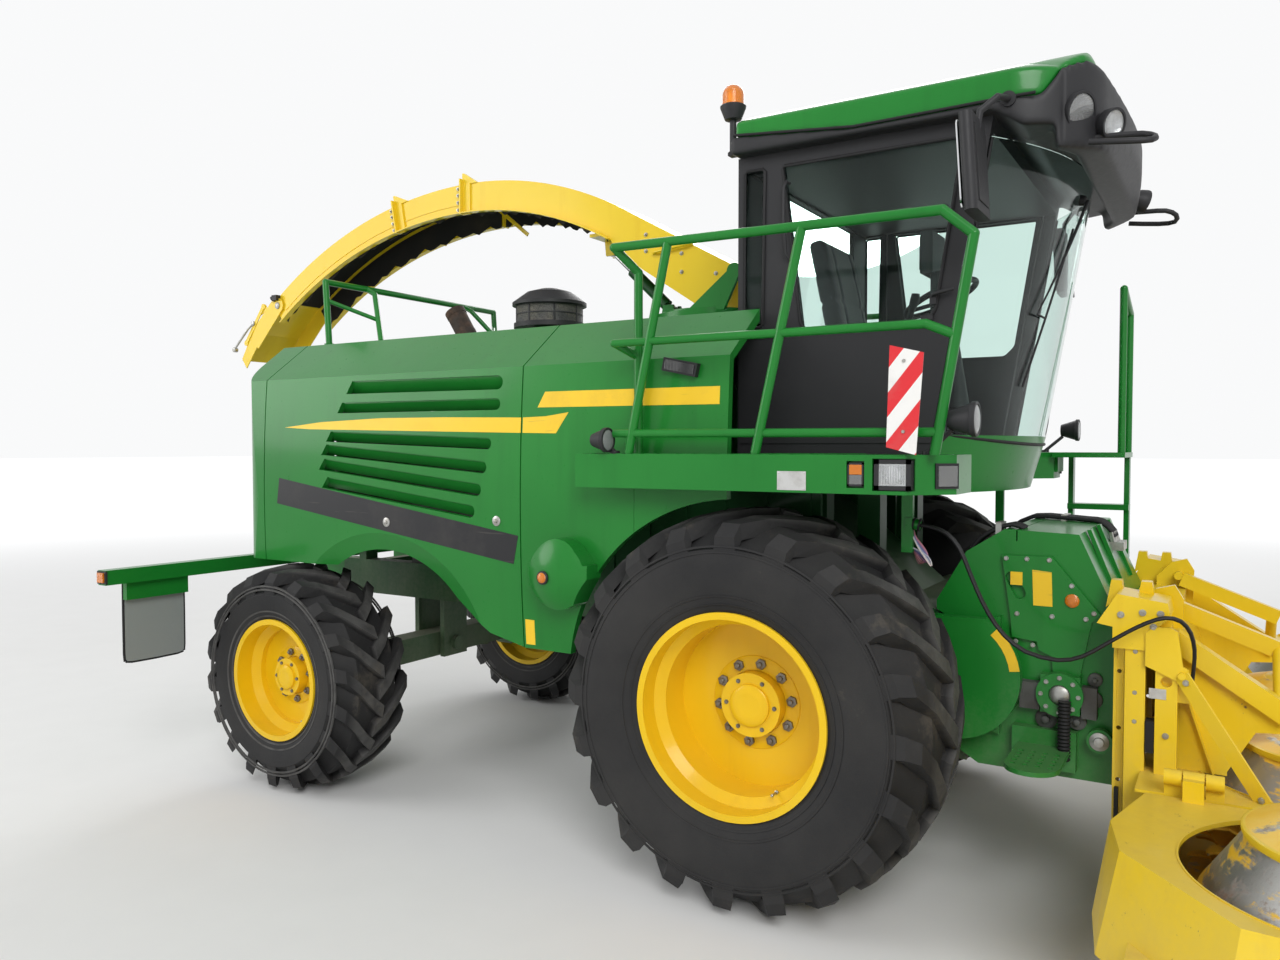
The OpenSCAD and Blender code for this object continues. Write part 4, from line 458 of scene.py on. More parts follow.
class Shape:
    def __init__(self):
        self.mesh = bmesh.new()

    # rings of points joined into a skin with flat ends, or into a loop; turn is (axis, degrees, pivot)
    def form(self, rings, soft=0, turn=None, loop=False):
        if turn:
            pivot = Vector(turn[2])
            spin = Matrix.Rotation(math.radians(turn[1]), 3, turn[0])
            rings = [[spin @ (point - pivot) + pivot for point in ring] for ring in rings]
        made = [[self.mesh.verts.new(point) for point in ring] for ring in rings]
        count = len(made[0])
        for first, second in zip(made, made[1:] + (made[:1] if loop else [])):
            for i in range(count):
                j = (i + 1) % count
                self.mesh.faces.new((first[i], first[j], second[j], second[i]))
        if not loop:
            self.mesh.faces.new(made[0][::-1])
            self.mesh.faces.new(made[-1])
        if soft:
            sharp = {e for ring in made for v in ring for e in v.link_edges
                     if len(e.link_faces) == 2 and e.calc_face_angle(0) > math.radians(25)}
            bmesh.ops.bevel(self.mesh, geom=list(sharp), offset=soft, segments=2, affect="EDGES", clamp_overlap=True)
        return self

    # a box with rounded edges
    def block(self, low, high, soft=4, turn=None):
        return self.plate([(low[0], low[1]), (high[0], low[1]), (high[0], high[1]), (low[0], high[1])],
                          "z", low[2], high[2], soft, turn)

    # an outline drawn on the plane square to an axis, between two places on that axis
    def plate(self, outline, axis, low, high, soft=1.5, turn=None):
        order = {"x": lambda a, b, c: (c, a, b), "y": lambda a, b, c: (a, c, b), "z": lambda a, b, c: (a, b, c)}[axis]
        return self.form([[Vector(order(a, b, c)) for a, b in outline] for c in (low, high)], soft, turn)

    # a turned form: steps along the axis with their radii
    def turned(self, centre, axis, steps, sides=40, loop=False):
        axis = Vector(axis).normalized()
        across = axis.orthogonal().normalized()
        other = axis.cross(across)
        centre = Vector(centre)
        return self.form([[centre + axis * s + (across * c + other * d) * max(r, 0.05)
                           for c, d in around(sides, 1.0)] for s, r in steps], loop=loop)

    # a hollow ring between two radii
    def collar(self, centre, axis, inner, outer, low, high, sides):
        return self.turned(centre, axis, [(low, inner), (low, outer), (high, outer), (high, inner)], sides, True)

    # a round bar along points, with one radius or several spread along it
    def tube(self, points, radius, sides=10, finer=0, loop=False):
        points = [Vector(p) for p in points]
        for _ in range(finer):
            points = finerPath(points)
        count = len(points)
        given = radius if isinstance(radius, list) else [radius, radius]
        rings = []
        side = None
        for i, point in enumerate(points):
            place = i * (len(given) - 1) / (count - 1)
            low = min(int(place), len(given) - 2)
            thick = given[low] + (given[low + 1] - given[low]) * (place - low)
            before = points[i - 1] if i or loop else point
            after = points[(i + 1) % count] if i + 1 < count or loop else point
            along = (after - before).normalized()
            side = along.orthogonal() if side is None else side - along * side.dot(along)
            side.normalize()
            other = along.cross(side)
            rings.append([point + (side * c + other * d) * thick for c, d in around(sides, 1.0)])
        return self.form(rings, loop=loop)

    # a chamfered nut on its washer, with the stud's end through it
    def nut(self, place, axis, across=30, high=18, stud=8):
        r = across / 2
        self.turned(place, axis, [(-1, r * 1.25), (3, r * 1.25), (3.2, r)], 20)
        self.turned(place, axis, [(3, r * 0.98), (4, r * 1.12), (high - 2, r * 1.12), (high, r * 0.95)], 6)
        if stud:
            top = high + stud
            self.turned(place, axis, [(high - 1, r * 0.5), (top - 2, r * 0.5), (top, r * 0.4)], 14)
        return self

    # the same again on the other side of the machine
    def mirrored(self):
        parts = self.mesh.verts[:] + self.mesh.edges[:] + self.mesh.faces[:]
        found = bmesh.ops.duplicate(self.mesh, geom=parts)["geom"]
        for v in found:
            if isinstance(v, bmesh.types.BMVert):
                v.co.y = -v.co.y
        bmesh.ops.reverse_faces(self.mesh, faces=[f for f in found if isinstance(f, bmesh.types.BMFace)])
        return self

    def piece(self, name, finish, body="chassis", slot="dark_plastic", smooth=38):
        for v in self.mesh.verts:
            v.co = at(*v.co)
        bmesh.ops.recalc_face_normals(self.mesh, faces=self.mesh.faces[:])
        mesh = bpy.data.meshes.new(name)
        self.mesh.to_mesh(mesh)
        self.mesh.free()
        mesh.shade_smooth()
        mesh.set_sharp_from_angle(angle=math.radians(smooth))
        made = bpy.data.objects.new(name, mesh)
        bpy.context.collection.objects.link(made)
        mesh.materials.append(finishes[finish])
        if body:
            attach(made, body)
        return made


# a rounded box on each side of the machine
def boxPair(name, finish, slot, low, high, soft=4, turn=None):
    Shape().block(low, high, soft, turn).mirrored().piece(name, finish, slot=slot)


# Pair of cables from the platform's socket down to the throat frame

cables = {"radius": 7.5, "apart": 17, "route": [
    (721.4, 985, 1783.8), (775, 988, 1777), (840, 993, 1752), (895, 997, 1690), (935, 1001, 1602),
    (975, 1006, 1510), (1022, 1010, 1420), (1085, 1011, 1335), (1175, 1009, 1270), (1300, 1003, 1248),
    (1390, 995, 1272), (1470, 975, 1325), (1545, 955, 1378), (1620, 938, 1424), (1685, 925, 1448),
    (1738, 905, 1436), (1772, 880, 1388), (1786, 860, 1318), (1784, 850, 1245), (1778, 850, 1171.1)]}
for side, name in ((-0.5, "cableInner"), (0.5, "cableOuter")):
    line = finerPath([Vector((x, -y - side * cables["apart"], z)) for x, y, z in cables["route"]])
    cable = Shape().tube(line, cables["radius"], 14).piece(name, "cableSkin", None, "cable_rubber", 60)
    path = [at(*p) for p in line]
    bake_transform(cable)
    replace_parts(cable, "header_cable")
print("cables hung")


# Wheels: nuts, hub caps, valves and the moulded rings of the sidewalls

wheels = {
    "front": {"x": 0, "z": 925, "mid": 1125, "face": 23.7, "hub": 150, "nuts": 10, "circle": 188, "across": 47,
              "rim": 452, "half": 375, "sideRadius": 525, "sideCentre": 688.5, "rings": (505, 545, 742, 768)},
    "rear": {"x": -3100, "z": 700, "mid": 1237.5, "face": 65.0, "hub": 115, "nuts": 8, "circle": 147, "across": 40,
             "rim": 356, "half": 262.5, "sideRadius": 367.5, "sideCentre": 528, "rings": (395, 425, 560, 580)}}


# how far a sidewall stands out from the wheel's middle, at a distance from the axle
def sidewall(w, reach):
    return w["half"] - w["sideRadius"] + math.sqrt(w["sideRadius"] ** 2 - (w["sideCentre"] - reach) ** 2)


def dressWheel(end, side, turn):
    w = wheels[end]
    body = "wheel_" + end + "_" + side.lower()
    x, z, hub, circle = w["x"], w["z"], w["hub"], w["circle"]
    out = (0, turn, 0)
    face = turn * (w["mid"] + w["face"])
    nuts = Shape()
    for dx, dz in around(w["nuts"], circle, 0.25):
        nuts.nut((x + dx, face, z + dz), out, w["across"], 24, 14)
    for dx, dz in around(6, hub * 0.82):
        nuts.nut((x + dx, face + turn * 70, z + dz), out, 17, 9, 0)
    nuts.piece(end + side + "Nuts", "nutSteel", body, "yellow_paint")
    # hub cap, then a foot ring round the nuts
    cap = Shape()
    r = hub * 0.66
    cap.turned((x, face + turn * 69, z), out,
               [(0, r), (14, r), (20, r - 7), (22, r * 0.5), (21, r * 0.45), (21, r * 0.1)], 48)
    cap.turned((x, face - turn * 2, z), out,
               [(0, circle + 34), (5, circle + 34), (9, circle + 28), (9, hub + 4), (0, hub + 2)], 56, True)
    cap.piece(end + side + "Cap", "rimYellow", body, "yellow_paint")
    skin = Shape()
    for r in w["rings"]:
        for s in (-1, 1):
            bead = [(sidewall(w, r + wide) + rise, r + wide) for wide, rise in ((-7, -4), (-4, 3), (4, 3), (7, -4))]
            skin.turned((x, turn * w["mid"], z), (0, s, 0), bead, 96, True)
    skin.piece(end + side + "Rings", "tyre", body, "tyre_rubber", 50)
    a = math.radians(-62)
    reach = w["rim"] - 62
    place = (x + reach * math.cos(a), turn * (w["mid"] + w["half"] - 175), z + reach * math.sin(a))
    Shape().turned(place, out, [(-4, 9), (6, 9), (8, 5), (40, 5), (41, 7), (54, 7), (56, 5)], 14).piece(
        end + side + "Valve", "zinc", body, "yellow_paint")


for end in wheels:
    dressWheel(end, "Right", -1)
    dressWheel(end, "Left", 1)
print("wheels dressed")


# Stripes, the plain banner and blank labels, laid on the bowed side of the body

bodySide = {"width": 1350, "arc": 9000, "middle": 1804, "proud": 0.9, "sunk": 1.5, "cut": 40}


def sideFace(z):
    return bodySide["width"] - bodySide["arc"] + math.sqrt(bodySide["arc"] ** 2 - (z - bodySide["middle"]) ** 2)


def film(name, outline, finish, body, turn):
    s = Shape().plate(outline, "y", -1, 1, 0)
    heights = [z for _, z in outline]
    for k in range(1, int((max(heights) - min(heights)) / bodySide["cut"]) + 1):
        bmesh.ops.bisect_plane(s.mesh, geom=s.mesh.verts[:] + s.mesh.edges[:] + s.mesh.faces[:], dist=0.01,
                               plane_co=(0, 0, min(heights) + k * bodySide["cut"]), plane_no=upward)
    bmesh.ops.triangulate(s.mesh, faces=[f for f in s.mesh.faces if len(f.verts) > 4])
    for v in s.mesh.verts:
        v.co.y = turn * (sideFace(v.co.z) + (bodySide["proud"] if v.co.y < 0 else -bodySide["sunk"]))
    s.piece(name, finish, body, "body_paint", 30)


# what each film is, whether it rides a hood door, and its outline along and up
films = (
    ("doorStripe", "yellowFilm", True, [(-3133, 2254), (-2900, 2241), (-2288, 2228), (-1262, 2206), (-1262, 2286),
                                        (-1800, 2296), (-2288, 2299), (-2800, 2283)]),
    ("banner", "blackFilm", True, [(-3202, 1780), (-1308, 1517), (-1274, 1668), (-3180, 1940)]),
    ("panelStripe", "yellowFilm", False, [(-1248, 2206), (-1033, 2202), (-957, 2308), (-1100, 2290), (-1248, 2286)]),
    ("longStripe", "yellowFilm", False, [(-1155, 2336), (-105, 2329), (-105, 2412), (-1109, 2416)]),
    ("panelLabel", "yellowFilm", False, [(-1243, 1098), (-1183, 1098), (-1183, 1230), (-1243, 1230)]))
for side, turn in (("Right", -1), ("Left", 1)):
    for name, finish, onHood, outline in films:
        film(name + side, outline, finish, "hood_" + side.lower() if onHood else "chassis", turn)
print("stripes laid")


# Body: shoulder lamp, latches, side marker, intake screen, tail pipe mouth, radiator screen

lampTurn = ("Y", 12, (-306, 1340, 2506))
boxPair("shoulderLampShells", "plastic", "dark_plastic", (-398, 1322, 2474), (-214, 1356, 2538), 7, lampTurn)
boxPair("shoulderLampLenses", "smokedLens", "lamp_plastic", (-386, 1352, 2483), (-226, 1359, 2529), 5, lampTurn)
podMarker = (-1002, -1492, 1484)
Shape().turned(podMarker, rightward, [(0, 34), (10, 34), (14, 30), (14, 26), (0, 26)], 32, True).piece(
    "podMarkerRim", "plastic")
Shape().turned(podMarker, rightward, [(0, 27), (13, 27), (18, 22), (20, 10), (20, 2)], 32).piece(
    "podMarkerLens", "amber", slot="amber_plastic")
for side, turn in (("Right", -1), ("Left", 1)):
    latch = Shape()
    for x, z in ((-2240, 1700), (-1420, 1740)):
        y = turn * sideFace(z)
        latch.turned((x, y - turn * 2, z), (0, turn, 0), [(0, 27), (5, 27), (7, 24), (7, 4)], 28)
        latch.turned((x, y + turn * 5, z), (0, turn, 0), [(0, 11), (7, 11), (8, 9)], 6)
    latch.piece("doorLatches" + side, "zinc", "hood_" + side.lower(), "body_paint")

intake = {"x": -1970, "y": -150, "foot": 2944, "radius": 214, "high": 112, "bands": (2941, 2998, 3054), "bars": 8}
x, y, r = intake["x"], intake["y"], intake["radius"]
Shape().collar((x, y, intake["foot"]), upward, r, r + 3, 0, intake["high"], 96).piece("intakeScreen", "screenMesh")
bands = Shape()
for z in intake["bands"]:
    bands.collar((x, y, z), upward, r + 1, r + 7, 0, 7, 72)
for dx, dy in around(intake["bars"], r + 2):
    bands.block((x + dx - 5, y + dy - 5, 2945), (x + dx + 5, y + dy + 5, 3056), 2)
bands.piece("intakeBands", "plastic")

pipeEnd = Vector((-3210, 300, 3160))
pipeWay = Vector((-110, 0, 170))
mouth = Shape().turned(pipeEnd, pipeWay, [(-30, 74), (-30, 78), (16, 79), (17, 76), (15, 71), (-1, 70)], 48, True)
mouth.collar((-3100, 300, 2960), upward, 74, 82, 0, 26, 48).piece("pipeMouth", "rust", slot="rusty_steel")
# a near-black disc closing the pipe's mouth: painted shade of the pipe's hollow, over real soot
Shape().turned(pipeEnd, pipeWay, [(-2, 71), (1.5, 71), (2, 60), (1.6, 5)]).piece(
    "pipeSoot", "soot", slot="rusty_steel")
Shape().block((-3524, -600, 1566), (-3510, 600, 2414), 3).piece("radiatorScreen", "screenMesh")
edge = Shape()
for y in (-614, 606):
    edge.block((-3566, y, 1562), (-3552, y + 8, 2418), 2)
for z in (1562, 2410):
    edge.block((-3566, -614, z), (-3552, 614, z + 8), 2)
edge.piece("grilleEdge", "plastic")
print("body dressed")


# Cab: window seals, catch, door handle, wiper, roof and its lamps, mirror faces, monitor, drive lever

cab = {"side": 920, "foot": 760, "lean": 9.5, "floor": 2130, "radius": 1604.31, "bulge": 290, "seal": 9, "inset": 14}


# a place on the windscreen's outer face: across, up along the glass, and out from it
def onGlass(y, h, off=0.0):
    lean = math.radians(cab["lean"])
    x = cab["bulge"] - cab["radius"] + math.sqrt((cab["radius"] + off) ** 2 - y * y)
    return (cab["foot"] + x * math.cos(lean) + h * math.sin(lean), y,
            cab["floor"] - x * math.sin(lean) + h * math.cos(lean))


# a seal round a side window, with two points at each of its corners
def windowSeal(name, corners, turn, body):
    points = []
    for i, corner in enumerate(corners):
        for other in (corners[i - 1], corners[(i + 1) % len(corners)]):
            points.append(Vector(corner) + (Vector(other) - Vector(corner)).normalized() * cab["inset"])
    Shape().tube([(x, turn * (cab["side"] + 1), z) for x, z in points], cab["seal"], 8, loop=True).piece(
        name, "rubber", body)


sideWindow = [(20, 3490), (120, 2720), (160, 2680), (700, 2680), (760, 2740), (878, 3490)]
quarter = [(-180, 2720), (-80, 2720), (-70, 3490), (-180, 3490)]
for side, turn, body in (("Right", -1, "chassis"), ("Left", 1, "door_body")):
    windowSeal("sideSeal" + side, sideWindow, turn, body)
    windowSeal("quarterSeal" + side, quarter, turn, "chassis")
catch = Shape().block((738, -938, 2768), (768, -918, 2812))
catch.tube([(752, -930, 2805), (760, -950, 2810), (800, -955, 2818), (846, -950, 2826)], [7, 9, 9, 6], 10, 2)
catch.block((700, -936, 2700), (752, -918, 2722))
catch.tube([(60, -918, 3400), (40, -950, 3380), (52, -950, 3060), (84, -918, 3040)], 8, 10, 1)
catch.piece("windowCatch", "plastic")
handle = Shape().block((560, 918, 2560), (690, 934, 2640), 6)
handle.tube([(575, 930, 2600), (590, 952, 2600), (660, 952, 2600), (676, 930, 2600)], 9, 10, 1)
handle.piece("doorHandle", "plastic", "door_body")
# lower dark panels of the cab's side, parted by a groove
trim = Shape().plate([(-205, 2150), (745, 2150), (830, 2655), (-205, 2655)], "y", -927, -921, 2)
trim.plate([(-205, 2668), (6, 2668), (-2, 2700), (-205, 2700)], "y", -926, -921, 2)
trim.piece("cabLowerTrim", "plastic")
spindle = Vector(onGlass(-150, 1262, 30)) - Vector(onGlass(-150, 1262, 0))
wiper = Shape().turned(onGlass(-150, 1262, -2), spindle, [(0, 26), (22, 24), (30, 16)], 24)
arm = [onGlass(-150 - k * 62, 1262 - k * 118, 34 - k * 3) for k in range(6)]
blade = [onGlass(-452 + k * 34, 330 + k * 112, 10) for k in range(8)]
wiper.tube(arm, [9, 8, 7, 6, 5, 4], 8).tube(blade, 5.5, 8).tube([arm[-1], blade[3]], 5, 8)
wiper.piece("wiper", "rubber")
seals = Shape()
for y in (-905, 905):
    seals.tube([onGlass(y, 70 + k * 215, -3) for k in range(7)], 8, 8)
seals.tube([onGlass(-900 + k * 100, 62, -2) for k in range(19)], 8, 8).piece("screenSeals", "rubber")

# Roof: both solids again, with the edges and the front corners rounded as moulded ones are
roof = {"grain": 0.014, "passes": 8, "front": 1490, "bow": 3400, "side": 1000, "corner": (1060, 690)}


def roofFront(y):
    return roof["front"] - roof["bow"] + math.sqrt(roof["bow"] ** 2 - y * y)


def aroundCorner(x, y):
    cornerX, cornerY = roof["corner"]
    u, w = (x - cornerX) / (roofFront(y) - cornerX), (abs(y) - cornerY) / (roof["side"] - cornerY)
    if u <= 0 or w <= 0:
        return x, y
    share = max(u, w) / math.hypot(u, w)
    side = cornerY + w * share * (roof["side"] - cornerY)
    return cornerX + u * share * (roofFront(side) - cornerX), math.copysign(side, y)


def softRoof(name, node, finish):
    made = bpy.data.objects.new(name, nodes[node].data.copy())
    bpy.context.collection.objects.link(made)
    even = made.modifiers.new("even", "REMESH")
    even.mode = "VOXEL"
    even.voxel_size = roof["grain"]
    made.modifiers.new("soften", "SMOOTH").iterations = roof["passes"]
    mesh = bpy.data.meshes.new_from_object(made.evaluated_get(bpy.context.evaluated_depsgraph_get()))
    made.modifiers.clear()
    made.data = mesh
    for vert in mesh.vertices:
        x, y = aroundCorner((vert.co.x - axleRow) * 1000, vert.co.y * 1000)
        vert.co.x, vert.co.y = x / 1000 + axleRow, y / 1000
    mesh.shade_smooth()
    mesh.materials.clear()
    mesh.materials.append(finishes[finish])
    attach(made, "chassis")
    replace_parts(made, node)


softRoof("roofShell", "roof_fascia", "plastic")
softRoof("roofPanel", "roof_cap", "green")
shell, bowl, glass = Shape(), Shape(), Shape()
way = Vector((0.80, -0.52, -0.28)).normalized()
for x, y, z, r in ((1338, 850, 3548, 74), (1422, 742, 3500, 60)):
    x, y = aroundCorner(x, y)
    place = Vector((x, -y, z)) + way * 26
    shell.turned(place, way, [(-60, r * 0.6), (-20, r * 0.98), (14, r + 7), (22, r + 6), (22, r - 3), (6, r - 4),
                              (-10, r * 0.5)], 40, True)
    bowl.turned(place, way, [(-30, r * 0.3), (-6, r * 0.75), (6, r - 4), (7, r - 5), (-2, r * 0.7), (-20, r * 0.2)])
    glass.turned(place, way, [(10, r - 2), (16, r - 2), (22, r * 0.8), (26, r * 0.45), (27, r * 0.1)])
shell.mirrored().piece("roofLampShells", "plastic")
bowl.mirrored().piece("roofLampBowls", "bowl", slot="lamp_plastic")
glass.mirrored().piece("roofLampGlass", "clearLens", slot="lamp_plastic")
Shape().tube([(1372, -770, 3440), (1470, -770, 3436), (1560, -765, 3428), (1608, -790, 3404), (1600, -840, 3378),
              (1520, -862, 3380), (1370, -862, 3400)], 13, 12, 1).mirrored().piece("roofLoops", "plastic")
Shape().tube([(-205, -996, 3654), (0, -996, 3634), (398, -996, 3594), (1000, -996, 3600), (1180, -990, 3602)],
             7, 8).mirrored().piece("roofSeam", "rubber")
mirrorTurn = ("Y", -4, (975, 1180, 3070))
Shape().plate([(1118, 3090), (1310, 3090), (1322, 3108), (1322, 3424), (1308, 3442), (1122, 3442), (1108, 3426),
               (1108, 3106)], "x", 962, 968, 2, mirrorTurn).mirrored().piece("mirrorGlass", "mirror")
Shape().plate([(1126, 3110), (1300, 3110), (1306, 3418), (1120, 3418)], "x", 1027, 1035, 5,
              mirrorTurn).mirrored().piece("mirrorBacks", "plastic")
stand = Shape().block((-293, -883, 3598), (-222, -837, 3614))
stand.turned((-275, -860, 3610), upward,
             [(0, 22), (8, 24), (14, 17), (165, 17), (170, 42), (228, 65), (236, 66), (242, 58)], 32)
stand.piece("beaconStand", "plastic")
Shape().block((594, -592, 2988), (600, -388, 3150), 5).piece("monitorGlass", "smokedLens")
grip = Shape().tube([(470, -330, 2750), (480, -332, 2820), (500, -334, 2880), (505, -335, 2915)],
                    [14, 16, 24, 20], 12, 1)
grip.block((250, -410, 2752), (430, -272, 2764), 6)
for k in range(4):
    grip.turned((270 + k * 42, -372, 2763), upward, [(0, 9), (7, 9), (9, 6)], 16)
grip.piece("driveLever", "plastic")
print("cab dressed")

# Seat: crowned cushions with sewn channels, in the space of the plain seat; a channel is (axis, place, depth)
cushion = {"base": ((35, -252, 2512), (545, 252, 2642)), "baseChannels": [(1, -150, 12), (1, 150, 12), (0, 120, 10)],
           "back": ((5, -240, 2600), (125, 240, 3285)),
           "backChannels": [(1, -150, 12), (1, 150, 12), (2, 0, 10), (2, 180, 10)],
           "lean": ("Y", -12, (100, 0, 2610)), "channel": 22, "thin": 0.74}


def crowned(name, low, high, channels, up, turn=None):
    low, high = Vector(low), Vector(high)
    mid, half = (low + high) / 2, (high - low) / 2
    s = Shape()
    bmesh.ops.create_cube(s.mesh, size=2)
    bmesh.ops.subdivide_edges(s.mesh, edges=s.mesh.edges[:], cuts=31, use_grid_fill=True)
    flat = [a for a in range(3) if a != up]
    for v in s.mesh.verts:
        u = v.co.copy()
        shape = u.copy()
        puff = (1 - abs(u[flat[0]]) ** 3.2) * (1 - abs(u[flat[1]]) ** 3.2)
        shape[up] = u[up] * (cushion["thin"] + (1 - cushion["thin"]) * puff ** 0.6)
        for a in flat:
            shape[a] = u[a] * (1 - 0.06 * abs(u[up]) ** 4 * max(abs(u[b]) for b in flat))
        for axis, place, deep in channels:
            near = abs(u[axis] * half[axis] - place) / cushion["channel"]
            if near < 1 and abs(u[up]) > 0.5:
                shape[up] -= math.copysign(deep / half[up] * (1 - near) ** 2, u[up])
        v.co = Vector([mid[a] + shape[a] * half[a] for a in range(3)])
    if turn:
        bmesh.ops.rotate(s.mesh, cent=Vector(turn[2]), matrix=Matrix.Rotation(math.radians(turn[1]), 3, turn[0]),
                         verts=s.mesh.verts[:])
    made = s.piece(name, "cloth", "chassis", "seat_cloth", 70)
    return made


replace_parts(crowned("seatBase", *cushion["base"], cushion["baseChannels"], 2), "seat")
crowned("seatBack", *cushion["back"], cushion["backChannels"], 0, cushion["lean"])
print("seat made")


# Platform: head lamps, indicators, blank plate, tread, work lamps, warning board, cable socket, wheel guards

bezels = Shape()
for x0, x1, z0, z1, wide, high, y, deep, soft in ((676, 824, 1959, 2081, 20, 18, -1501, 13, 3),
                                                  (564, 631, 1972, 2068, 7, 8, -1499, 9, 2)):
    for left, right, low, top in ((x0, x1, z0, z0 + high), (x0, x1, z1 - high, z1),
                                  (x0, x0 + wide, z0, z1), (x1 - wide, x1, z0, z1)):
        bezels.block((left, y, low), (right, y + deep, top), soft)
bezels.mirrored().piece("lampBezels", "plastic")
bowl = Shape().block((696, -1496.5, 1977), (804, -1494.6, 2063), 0.8)
bowl.turned((750, -1494, 2020), rightward, [(0, 34), (4, 34), (5, 26), (4.5, 8)], 32)
bowl.mirrored().piece("headLampBowls", "bowl", slot="lamp_plastic")
glass = Shape().block((695, -1501.5, 1976), (805, -1497, 2064), 1.6)
for k in range(10):
    glass.block((700 + k * 10.4, -1503, 1982), (705 + k * 10.4, -1500, 2058), 1.2)
glass.mirrored().piece("headLampGlass", "clearLens", slot="lamp_plastic")
boxPair("indicatorAmber", "amber", "amber_plastic", (571, -1498, 2020), (624, -1491.5, 2060), 2.5)
boxPair("indicatorClear", "clearLens", "lamp_plastic", (571, -1498, 1980), (624, -1491.5, 2018), 2.5)
cornerTurn = ("Z", 46.7, (928, -1364, 2015))
boxPair("cornerLampShells", "plastic", "dark_plastic", (876, -1372, 1964), (980, -1357, 2066), 4, cornerTurn)
boxPair("cornerLampGlass", "clearLens", "lamp_plastic", (886, -1378, 1974), (970, -1368, 2056), 4, cornerTurn)
plate = Shape().block((255, -1502.5, 1950), (385, -1499.5, 2030), 1)
for x, z in ((262, 1957), (378, 1957), (262, 2023), (378, 2023)):
    plate.turned((x, -1502, z), rightward, [(0, 4), (1.5, 4), (2.4, 2)], 10)
plate.piece("blankPlate", "alloy", slot="grey_plastic")
# raised bars of the tread: the narrow walkway, then the landing
tread = Shape()
for columns, rows, left, near in ((26, 2, -770, 1405), (11, 10, -30, 960)):
    for i in range(columns):
        for j in range(rows):
            x, y = left + i * 47, -near - j * 44
            slant = ("Z", 35 if (i + j) % 2 else -35, (x + 15, y - 22, 2101))
            tread.block((x, y - 26, 2099.5), (x + 30, y - 18, 2102.5), 1.2, slant)
tread.mirrored().piece("platformTread", "green", slot="body_paint")
ring, glass = Shape(), Shape()
for x, y, z, r in ((-608, -1505, 2165, 55), (1052, -1415, 2240, 65)):
    ring.turned((x, y, z), (1, 0, 0),
                [(-16, r + 1), (-14, r + 4), (4, r + 4), (6, r), (6, r - 6), (-1, r - 7)], 40, True)
    glass.turned((x, y, z), (1, 0, 0), [(-2, r - 5), (2, r - 5), (7, r * 0.7), (9, r * 0.35), (9.5, 2)])
ring.mirrored().piece("workLampRings", "plastic")
glass.mirrored().piece("workLampGlass", "workLens", slot="lamp_plastic")
Shape().plate([(731, 2131), (850, 2100), (877, 2499), (742, 2534)], "y", -1522.5, -1519.5, 1).piece(
    "warningBoard", "striped", slot="grey_plastic")
board = Shape().plate([(785, 2168), (812, 2168), (812, 2500), (785, 2500)], "y", -1519, -1514, 1)
for z in (2192, 2470):
    board.block((778, -1516, z - 26), (820, -1448, z + 26), 6).nut((799, -1519, z), rightward, 14, 8, 0)
board.piece("boardHolder", "zinc", slot="body_paint")
ring = Shape().collar((716, -985, 1784.6), (1, 0, -0.2), 24, 30, 0, 8, 28)
ring.collar((700, -985, 1788), (1, 0, -0.2), 24, 28, -10, -2, 28).piece("socketRings", "rubber")
wires = Shape()
for k in range(7):
    y = -930 - k * 9
    wires.tube([(672, y, 1768), (690 + k * 3, y - 6, 1722 - k * 5), (742 + k * 5, y - 12, 1652 - k * 8),
                (700 + k * 9, y + 4, 1604 + k * 7), (668, y, 1690)], 2.6, 7, 2)
wires.piece("looseWires", "wires", slot="cable_rubber")
guard = Shape().plate([(-1240, 1120), (120, 1120), (120, 1925), (-1240, 1925)], "y", -645, -620, 3)
for x in range(-1160, 100, 240):
    guard.block((x, -652, 1150), (x + 30, -640, 1900))
guard.mirrored().piece("wheelGuards", "darkGreen", slot="body_paint")
print("platform dressed")


# Spout: near-black sheets inside it as painted shade, bolts, ribs, lamp and flap rods; an arc is its radius, its two
# ends in degrees and its way

spout = {"x": -2650, "z": 3943, "half": 220, "sheet": 8, "deep": 205,
         "back": (3450, 0.4, 35.4, -1), "front": (2700, 0.4, 28.4, 1)}


def onArc(radius, degrees, way, drop):
    a = math.radians(degrees)
    return spout["x"] + way * (radius - drop) * math.sin(a), spout["z"] - radius + (radius - drop) * math.cos(a)


# a strip along an arc, from one place across to another and from one depth below the crown to another
def strip(shape, arc, count, across, depths):
    radius, first, last, way = arc
    rings = []
    for k in range(count + 1):
        a = first + (last - first) * k / count
        (x0, z0), (x1, z1) = [onArc(radius, a, way, depth) for depth in depths(k)]
        y0, y1 = across
        rings.append([Vector(p) for p in ((x0, y0, z0), (x0, y1, z0), (x1, y1, z1), (x1, y0, z1))])
    shape.form(rings)


# near-black sheets under the spout's crown and along its inner sides: painted shade of its hollow, with brown stains;
# the sides' lower edge wavers
liner = Shape()
inner = spout["half"] - spout["sheet"]
for arc in (spout["back"], spout["front"]):
    strip(liner, arc, 24, (3 - inner, inner - 3), lambda k: (spout["sheet"] + 1, spout["sheet"] + 5))
for turn in (-1, 1):
    for arc in (spout["back"], spout["front"]):
        strip(liner, arc, 36, (turn * (inner - 2), turn * (inner - 6)),
              lambda k: (40, spout["deep"] + 6 + 16 * math.sin(k * 2.1) + 10 * math.sin(k * 5.3)))
liner.piece("spoutShadeSheets", "liner", "spout_body")
bolts = Shape()
for a in (0.0, 10.9):
    for d in (30, 75, 125, 175):
        for off in (0.25, 0.72):
            x, z = onArc(3450, a + off, -1, d)
            bolts.nut((x, -232, z), rightward, 20, 11, 6)
bolts.mirrored()
for x, z in ((-1180, 3330), (-1180, 3430), (-930, 3180), (-930, 3290), (-700, 3060), (-700, 3150)):
    bolts.nut((x, -220, z), rightward, 20, 11, 6)
bolts.piece("spoutBolts", "zinc", "spout_body", "yellow_paint")
